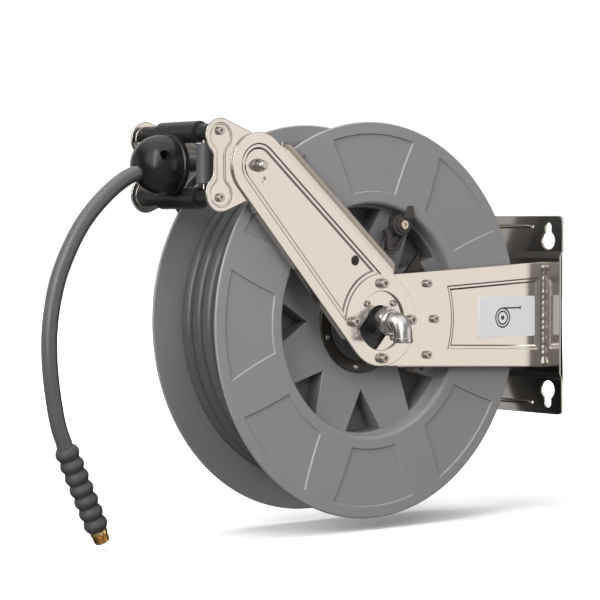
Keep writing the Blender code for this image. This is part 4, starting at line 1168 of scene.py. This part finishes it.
def pawl():
    """A hub and cap on the screw, a tab and its neck above them, and a hollowed tail below."""
    place, low = on_side("inlet"), FLANGE_FACE + 0.0004

    def line(points, radius, steps=4):
        return rounded([(x + PAWL[0], z + PAWL[1]) for x, z in points], radius, steps)

    shape = disc(Shape(), place, PAWL, 0.0145, 0.0043, 0.051, 0.064, 0.001, 48)
    disc(shape, place, PAWL, 0.0105, 0.0043, 0.063, 0.0664, 0.0008, 40)
    plate(shape, place, line(PAWL_TAB, 0.0015), low, 0.069, edge=0.0006)
    plate(shape, place, line(PAWL_NECK, 0.001, 3), low, 0.0668, edge=0.0004)
    plate(shape, place, line(PAWL_TAIL, 0.0014), 0.051, 0.0575,
          presses=[(line(PAWL_HOLLOW, 0.0012), 0.0008, 0.003)], edge=0.0006)
    piece("ratchet_pawl", shape, PAWL_PLASTIC, sharp=45)
    piece("pawl_screw", hex_screw(Shape(), "pawl screw", PAWL, "inlet", 0.0667), PAWL_SCREW)
    boss = disc(Shape(), place, PAWL, 0.012, 0.005, 0.044, 0.0478, 0.0008, 40)
    plate(boss, place, line(PAWL_FOOT, 0.003), 0.0415, 0.0488, edge=0.0008)
    piece("pawl_foot", boss, DRUM_GREY, "drum")
    coil_r, wire_r, turns, steps = 0.0075, 0.0004, 2, 24
    coil = []
    for i in range(turns * steps + 1):
        a = 2 * pi * i / steps
        coil.append((PAWL[0] + AXIS + coil_r * cos(a), -0.0488 - 0.0009 * i / (turns * steps),
                     PAWL[1] + coil_r * sin(a)))
    piece("pawl_spring", Shape().sweep(coil, wire_r, 8), SPRING_STEEL, sharp=60)


# Guide head

def guide_outline():
    """The side plate: a round lobe on the pivot, one at each rod, and a waist between them."""
    big, waist_angle, hollow, folds = 0.034, 232, 0.003, 12
    top, bottom = LOBE_MIDDLES["top"], LOBE_MIDDLES["bottom"]
    lean = {}
    for name, turn in (("top", -1), ("bottom", 1)):
        reach = Vector(LOBE_MIDDLES[name]) - Vector(PIVOT)
        lean[name] = bearing(reach) + turn * degrees(acos((big - LOBE_R) / reach.length))
    outline = arc(PIVOT, big, lean["bottom"], lean["top"], 30)
    outline += arc(top, LOBE_R, lean["top"], waist_angle, 26)
    start, end = polar(LOBE_R, waist_angle, top), polar(LOBE_R, 360 - waist_angle, bottom)
    for i in range(1, folds):
        t = i / folds
        outline.append((start[0] + (end[0] - start[0]) * t + hollow * (1 - (2 * t - 1) ** 4),
                        start[1] + (end[1] - start[1]) * t))
    return outline + arc(bottom, LOBE_R, 360 - waist_angle, 360 + lean["bottom"], 26)


def dog_bone(top, bottom, lobe, half, fillet, steps=10):
    """Two round lobes joined by a narrow waist, with the four corners between them filleted."""
    across = half + fillet
    down = sqrt((lobe + fillet) ** 2 - across**2)
    lean = degrees(atan2(down, across))
    left, right = top[0] - across, top[0] + across
    upper, lower = top[1] - down, bottom[1] + down
    outline = arc(top, lobe, -lean, 180 + lean, 3 * steps)
    outline += arc((left, upper), fillet, lean, 0, steps)
    outline += arc((left, lower), fillet, 0, -lean, steps)
    outline += arc(bottom, lobe, 180 - lean, 360 + lean, 3 * steps)
    outline += arc((right, lower), fillet, 180 + lean, 180, steps)
    return outline + arc((right, upper), fillet, 180, 180 - lean, steps)


PRESS_DEPTH = 0.0013


def guide_plates():
    bone = dog_bone(LOBE_MIDDLES["top"], LOBE_MIDDLES["bottom"], 0.017, 0.007, 0.01)
    ridge = inset(anticlockwise(bone), 0.0006)
    holes = [circle(PIVOT, PIVOT_HOLE_R, 28)] + [circle(c, SCREW_HOLE_R, 20) for c in LOBES.values()]
    for side in SIDES:
        place = on_side(side)
        shape = plate(Shape(), place, guide_outline(), FORK_BACK, FORK_FACE, holes,
                      [(bone, 0.0032, PRESS_DEPTH)], edge=0.0014)
        plate(shape, place, ridge, FORK_BACK - 0.0011, FORK_BACK + 0.0004, edge=0.001)
        piece(f"guide_plate_{side}", shape, STAINLESS)
        for name, centre in LOBES.items():
            head = hex_screw(Shape(), "guide screw", centre, side, FORK_FACE - PRESS_DEPTH)
            piece(f"guide_screw_{side}_{name}", head, BOLT_STEEL, "guide")


def mirrored(profile, shared=0):
    """A profile's points and then, without those it shares, their mirror images below."""
    return profile + [(r, -h) for r, h in reversed(profile[:len(profile) - shared])]


def rollers():
    """Two horizontal rods with their rollers, and two upright pins with theirs."""
    inner, end, half, seam, rod_end = 0.0063, 0.01325, 0.039, 0.0004, FORK_BACK - GAP
    rod = [(0.0, rod_end + 0.0027), (0.003, rod_end + 0.0027), (0.003, rod_end), (0.009, rod_end),
           (0.0095, rod_end - 0.0005), (0.0095, half + 0.0012), (0.0088, half + GAP),
           (0.006, half + GAP)]
    sleeve = [(inner, half), (end - 0.0012, half), (end - 0.0004, half - 0.0004), (end, half - 0.0012),
              (end, seam), (end - 0.0005, 0.0)]
    for name, (x, z) in LOBES.items():
        shape = Shape().turned(mirrored(rod), centre=(x, 0.0, z), segments=40)
        piece(f"guide_tie_rod_{name}", shape, BLACK)
        shape = Shape().turned(mirrored(sleeve, 1), centre=(x, 0.0, z), segments=48)
        piece(f"guide_roller_{name}", shape, BLACK, sharp=30)
    for side in SIDES:
        centre = (middle(f"side_roller_{side}").x - AXIS, middle(f"side_roller_{side}").y, 0.0)
        low, high = (p.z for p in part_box(f"side_roller_pin_{side}"))
        pin = [(0.0, high), (0.0034, high), (0.004, high - 0.0006), (0.004, low + 0.0006),
               (0.0034, low), (0.0, low)]
        piece(f"side_roller_pin_{side}", Shape().turned(pin, "Z", centre, 24), BOLT_STEEL)
        low, high = (p.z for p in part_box(f"side_roller_{side}"))
        body = [(0.0043, high), (0.0088, high), (0.0096, high - 0.0004), (0.01, high - 0.0012),
                (0.01, low + 0.0012), (0.0096, low + 0.0004), (0.0088, low), (0.0043, low)]
        piece(f"side_roller_{side}", Shape().turned(body, "Z", centre, 40), DARK_GREY)


BALL = (-0.283, middle("ball_stop_inlet").z)
BALL_R = 0.036
BALL_SCREW = (-0.297, 0.203)


def ball_stop():
    """A clamped ball with a collar, a hollow for its screw and a mouth that the hose fills."""
    collar_r, collar_x, back_x, steps = 0.037, -0.273, -0.2646, 22
    profile = [(0.0, back_x), (0.0355, back_x), (collar_r, back_x - 0.0012),
               (collar_r, collar_x + 0.0012), (collar_r - 0.0012, collar_x), (0.0352, collar_x)]
    first = degrees(acos((collar_x - BALL[0]) / BALL_R))
    for i in range(1, steps + 1):
        a = radians(first + (180 - first) * i / steps)
        profile.append((max(BALL_R * sin(a), 0.0), BALL[0] + BALL_R * cos(a)))
    entry, leave = Vector(RUN_ROUTE[4]), Vector(RUN_ROUTE[-1])
    heading = (leave - entry).normalized()
    mouth = leave + heading * 0.0135
    bore = upright([entry - heading * 0.01, leave, mouth, mouth + heading * 0.006])
    bore_r = HOSE_R + 0.0008
    recess = [(0.0, -0.05), (0.0066, -0.05), (0.0058, -0.029), (0.0058, -0.014), (0.0, -0.014)]
    for side, sign in SIDES.items():
        ball = Shape().turned(profile, "X", (0.0, 0.0, BALL[1]), 72)
        obj = piece(f"ball_stop_{side}", ball, GLOSS_BLACK, sharp=50)
        ring = [(-0.35, 0.1), (-0.25, 0.1), (-0.25, 0.28), (-0.35, 0.28)]
        ys = sorted((sign * GAP / 4, sign * 0.05))
        cut(obj, "INTERSECT", Shape().loft([[(x + AXIS, y, z) for x, z in ring] for y in ys]))
        cut(obj, "DIFFERENCE", Shape().sweep(bore, [bore_r, bore_r, bore_r, HOSE_R + 0.004], 40))
        if side == "inlet":
            centre = (BALL_SCREW[0], 0.0, BALL_SCREW[1])
            cut(obj, "DIFFERENCE", Shape().turned(recess, centre=centre, segments=40))
        soften(obj, 40)
    screw = hex_screw(Shape(), "ball screw", BALL_SCREW, "inlet", 0.0143)
    piece("ball_stop_screw", screw, DARK_STEEL)


def cut(obj, operation, shape):
    """Applies one Boolean with a shape that is thrown away."""
    tool = joined(new_object("cutter", shape.points, shape.faces))
    modifier = obj.modifiers.new("cut", "BOOLEAN")
    modifier.operation = operation
    modifier.solver = "EXACT"
    modifier.object = tool
    obj.modifiers.move(len(obj.modifiers) - 1, 0)
    with bpy.context.temp_override(object=obj, active_object=obj, selected_objects=[obj]):
        bpy.ops.object.modifier_apply(modifier=modifier.name)
    bpy.data.objects.remove(tool, do_unlink=True)


# Stage, light and camera

DOME_R = 9.0
PAPER = {"Roughness": 0.9, "Specular IOR Level": 0.1, "Emission Color": (1.0, 1.0, 1.0, 1.0)}


def studio():
    """A pale floor in a white dome, soft boxes, and a world that is dark behind and below."""
    floor_z = cad_low.z - 0.006
    line = circle((0.0, 0.0), DOME_R, 64)
    floor = new_object("studio_floor", [(x + AXIS, y, floor_z) for x, y in line], [tuple(range(64))])
    floor.data.materials.append(floor_finish())
    rings = []
    for a in range(0, 91, 6):
        r, z = DOME_R * cos(radians(a)), floor_z - 0.01 + DOME_R * sin(radians(a))
        rings.append([(x + AXIS, y, z) for x, y in circle((0.0, 0.0), max(r, 0.01), 64)])
    shape = Shape().loft(rings)
    dome = new_object("studio_dome", shape.points, shape.faces)
    dome.data.materials.append(new_material("studio_white", {
        **PAPER, "Base Color": (0.0, 0.0, 0.0, 1.0), "Emission Strength": 1.05})[0])
    for obj in (floor, dome):
        obj.visible_diffuse = obj.visible_glossy = obj.visible_transmission = False
    dome.visible_shadow = False
    studio_world()
    add_light("top_box", (-0.8, 0.05, 2.2), (-0.3, 0.0, 0.0), 2.0, 2.0, 52)
    add_light("key_strip", (-2.45, -1.28, 1.25), (-0.35, 0.0, 0.3), 0.28, 3.3, 19, mirrored=True)
    add_light("side_box", (-2.55, -0.7, 0.85), (-0.35, 0.0, 0.05), 1.2, 1.2, 52)
    add_light("front_box", (-0.9, -2.7, 1.7), (-0.3, 0.0, 0.0), 1.2, 1.2, 22)


def floor_finish():
    """White paper that takes a soft shadow round the reel and glows white further out."""
    made, tree, shader = new_material("studio_paper", {**PAPER, "Base Color": (0.8, 0.8, 0.8, 1.0)})
    place = add_node(tree, "TexCoord", {}).outputs["Object"]
    reach = add_node(tree, "VectorMath", {0: place, 1: (AXIS, 0.0, cad_low.z)}, operation="DISTANCE")
    glow = map_range(tree, reach.outputs["Value"], 0.6, 2.2, 0.14, 1.1)
    fill_inputs(tree, shader, {"Emission Strength": glow})
    return made


# Each part of the world's light: the azimuth and elevation it comes from, how far from there it
# is full and where it ends, in degrees, and its colour and strength.
WORLD_BASE = (0.018, 0.017, 0.017)
WORLD_CARDS = (
    ((0, 90), (22, 60), (0.95, 0.95, 0.96)),
    ((-51, 4), (17, 32), (0.93, 0.885, 0.835)),
    ((129, 4), (10, 22), (0.5, 0.49, 0.48)),
    ((68, 10), (20, 42), (0.74, 0.7, 0.65)),
    ((-112, 5), (18, 46), (0.26, 0.26, 0.26)),
    ((-6, 18), (6, 22), (0.46, 0.42, 0.38)),
    ((205, 26), (16, 36), (1.3, 1.3, 1.31)),
    ((231, -65), (25, 62), (0.24, 0.24, 0.24)),
)


def studio_world():
    world = bpy.data.worlds.new("studio_world")
    world.use_nodes = True
    tree = world.node_tree
    way = add_node(tree, "TexCoord", {}).outputs["Generated"]
    total = WORLD_BASE
    for (azimuth, elevation), (full, edge), colour in WORLD_CARDS:
        x, y = polar(cos(radians(elevation)), azimuth)
        dot = add_node(tree, "VectorMath", {0: way, 1: (x, y, sin(radians(elevation)))},
                       operation="DOT_PRODUCT")
        soft = map_range(tree, dot.outputs["Value"], cos(radians(edge)), cos(radians(full)), 0.0, 1.0,
                         interpolation_type="SMOOTHSTEP")
        card = add_node(tree, "VectorMath", {}, operation="SCALE")
        card = fill_inputs(tree, card, {0: colour, "Scale": soft}).outputs["Vector"]
        total = add_node(tree, "VectorMath", {0: card, 1: total}, operation="ADD").outputs["Vector"]
    fill_inputs(tree, tree.nodes["Background"], {"Color": total, "Strength": 1.0})
    bpy.context.scene.world = world


def aimed(name, data, place, aim):
    obj = bpy.data.objects.new(name, data)
    bpy.context.scene.collection.objects.link(obj)
    obj.location = place
    obj.rotation_euler = (Vector(aim) - Vector(place)).to_track_quat("-Z", "Y").to_euler()
    return obj


def add_light(name, place, aim, width, height, power, mirrored=False):
    """A soft box that only lights or, where it is mirrored, only shows in glossy surfaces."""
    data = bpy.data.lights.new(name, "AREA")
    data.shape = "RECTANGLE"
    data.size, data.size_y = width, height
    data.energy = power
    obj = aimed(name, data, place, aim)
    obj.visible_glossy, obj.visible_diffuse = mirrored, not mirrored


def photo_camera():
    """The camera stands at the photograph's viewing angle."""
    data = bpy.data.cameras.new("camera")
    data.lens = 139.3
    data.clip_end = 50
    bpy.context.scene.camera = aimed("camera", data, (-2.2101, -2.2705, 0.121),
                                     (-0.3692, -0.0071, 0.02575))


CARRIED = {"power_spring": SPRING_STEEL, "swivel_joint": BRASS}


def carried_over():
    """Gives the CAD nodes that still show a finish of their own."""
    for name, obj in frame["nodes"].items():
        if not obj.hide_render:
            obj.data.materials.clear()
            obj.data.materials.append(CARRIED.get(name, BLACK))


hose_tail()
photo_camera()
hose_run()
hose_winding()
wall_plate()
weld_beads()
fork_plates()
retainer_screws()
label()
arms()
fasteners()
axle_parts()
elbow()
for a_side in SIDES:
    flange(a_side)
drum_middle()
ratchet_cam()
pawl()
guide_plates()
rollers()
ball_stop()
carried_over()
studio()

bpy.context.scene.view_settings.view_transform = "Standard"
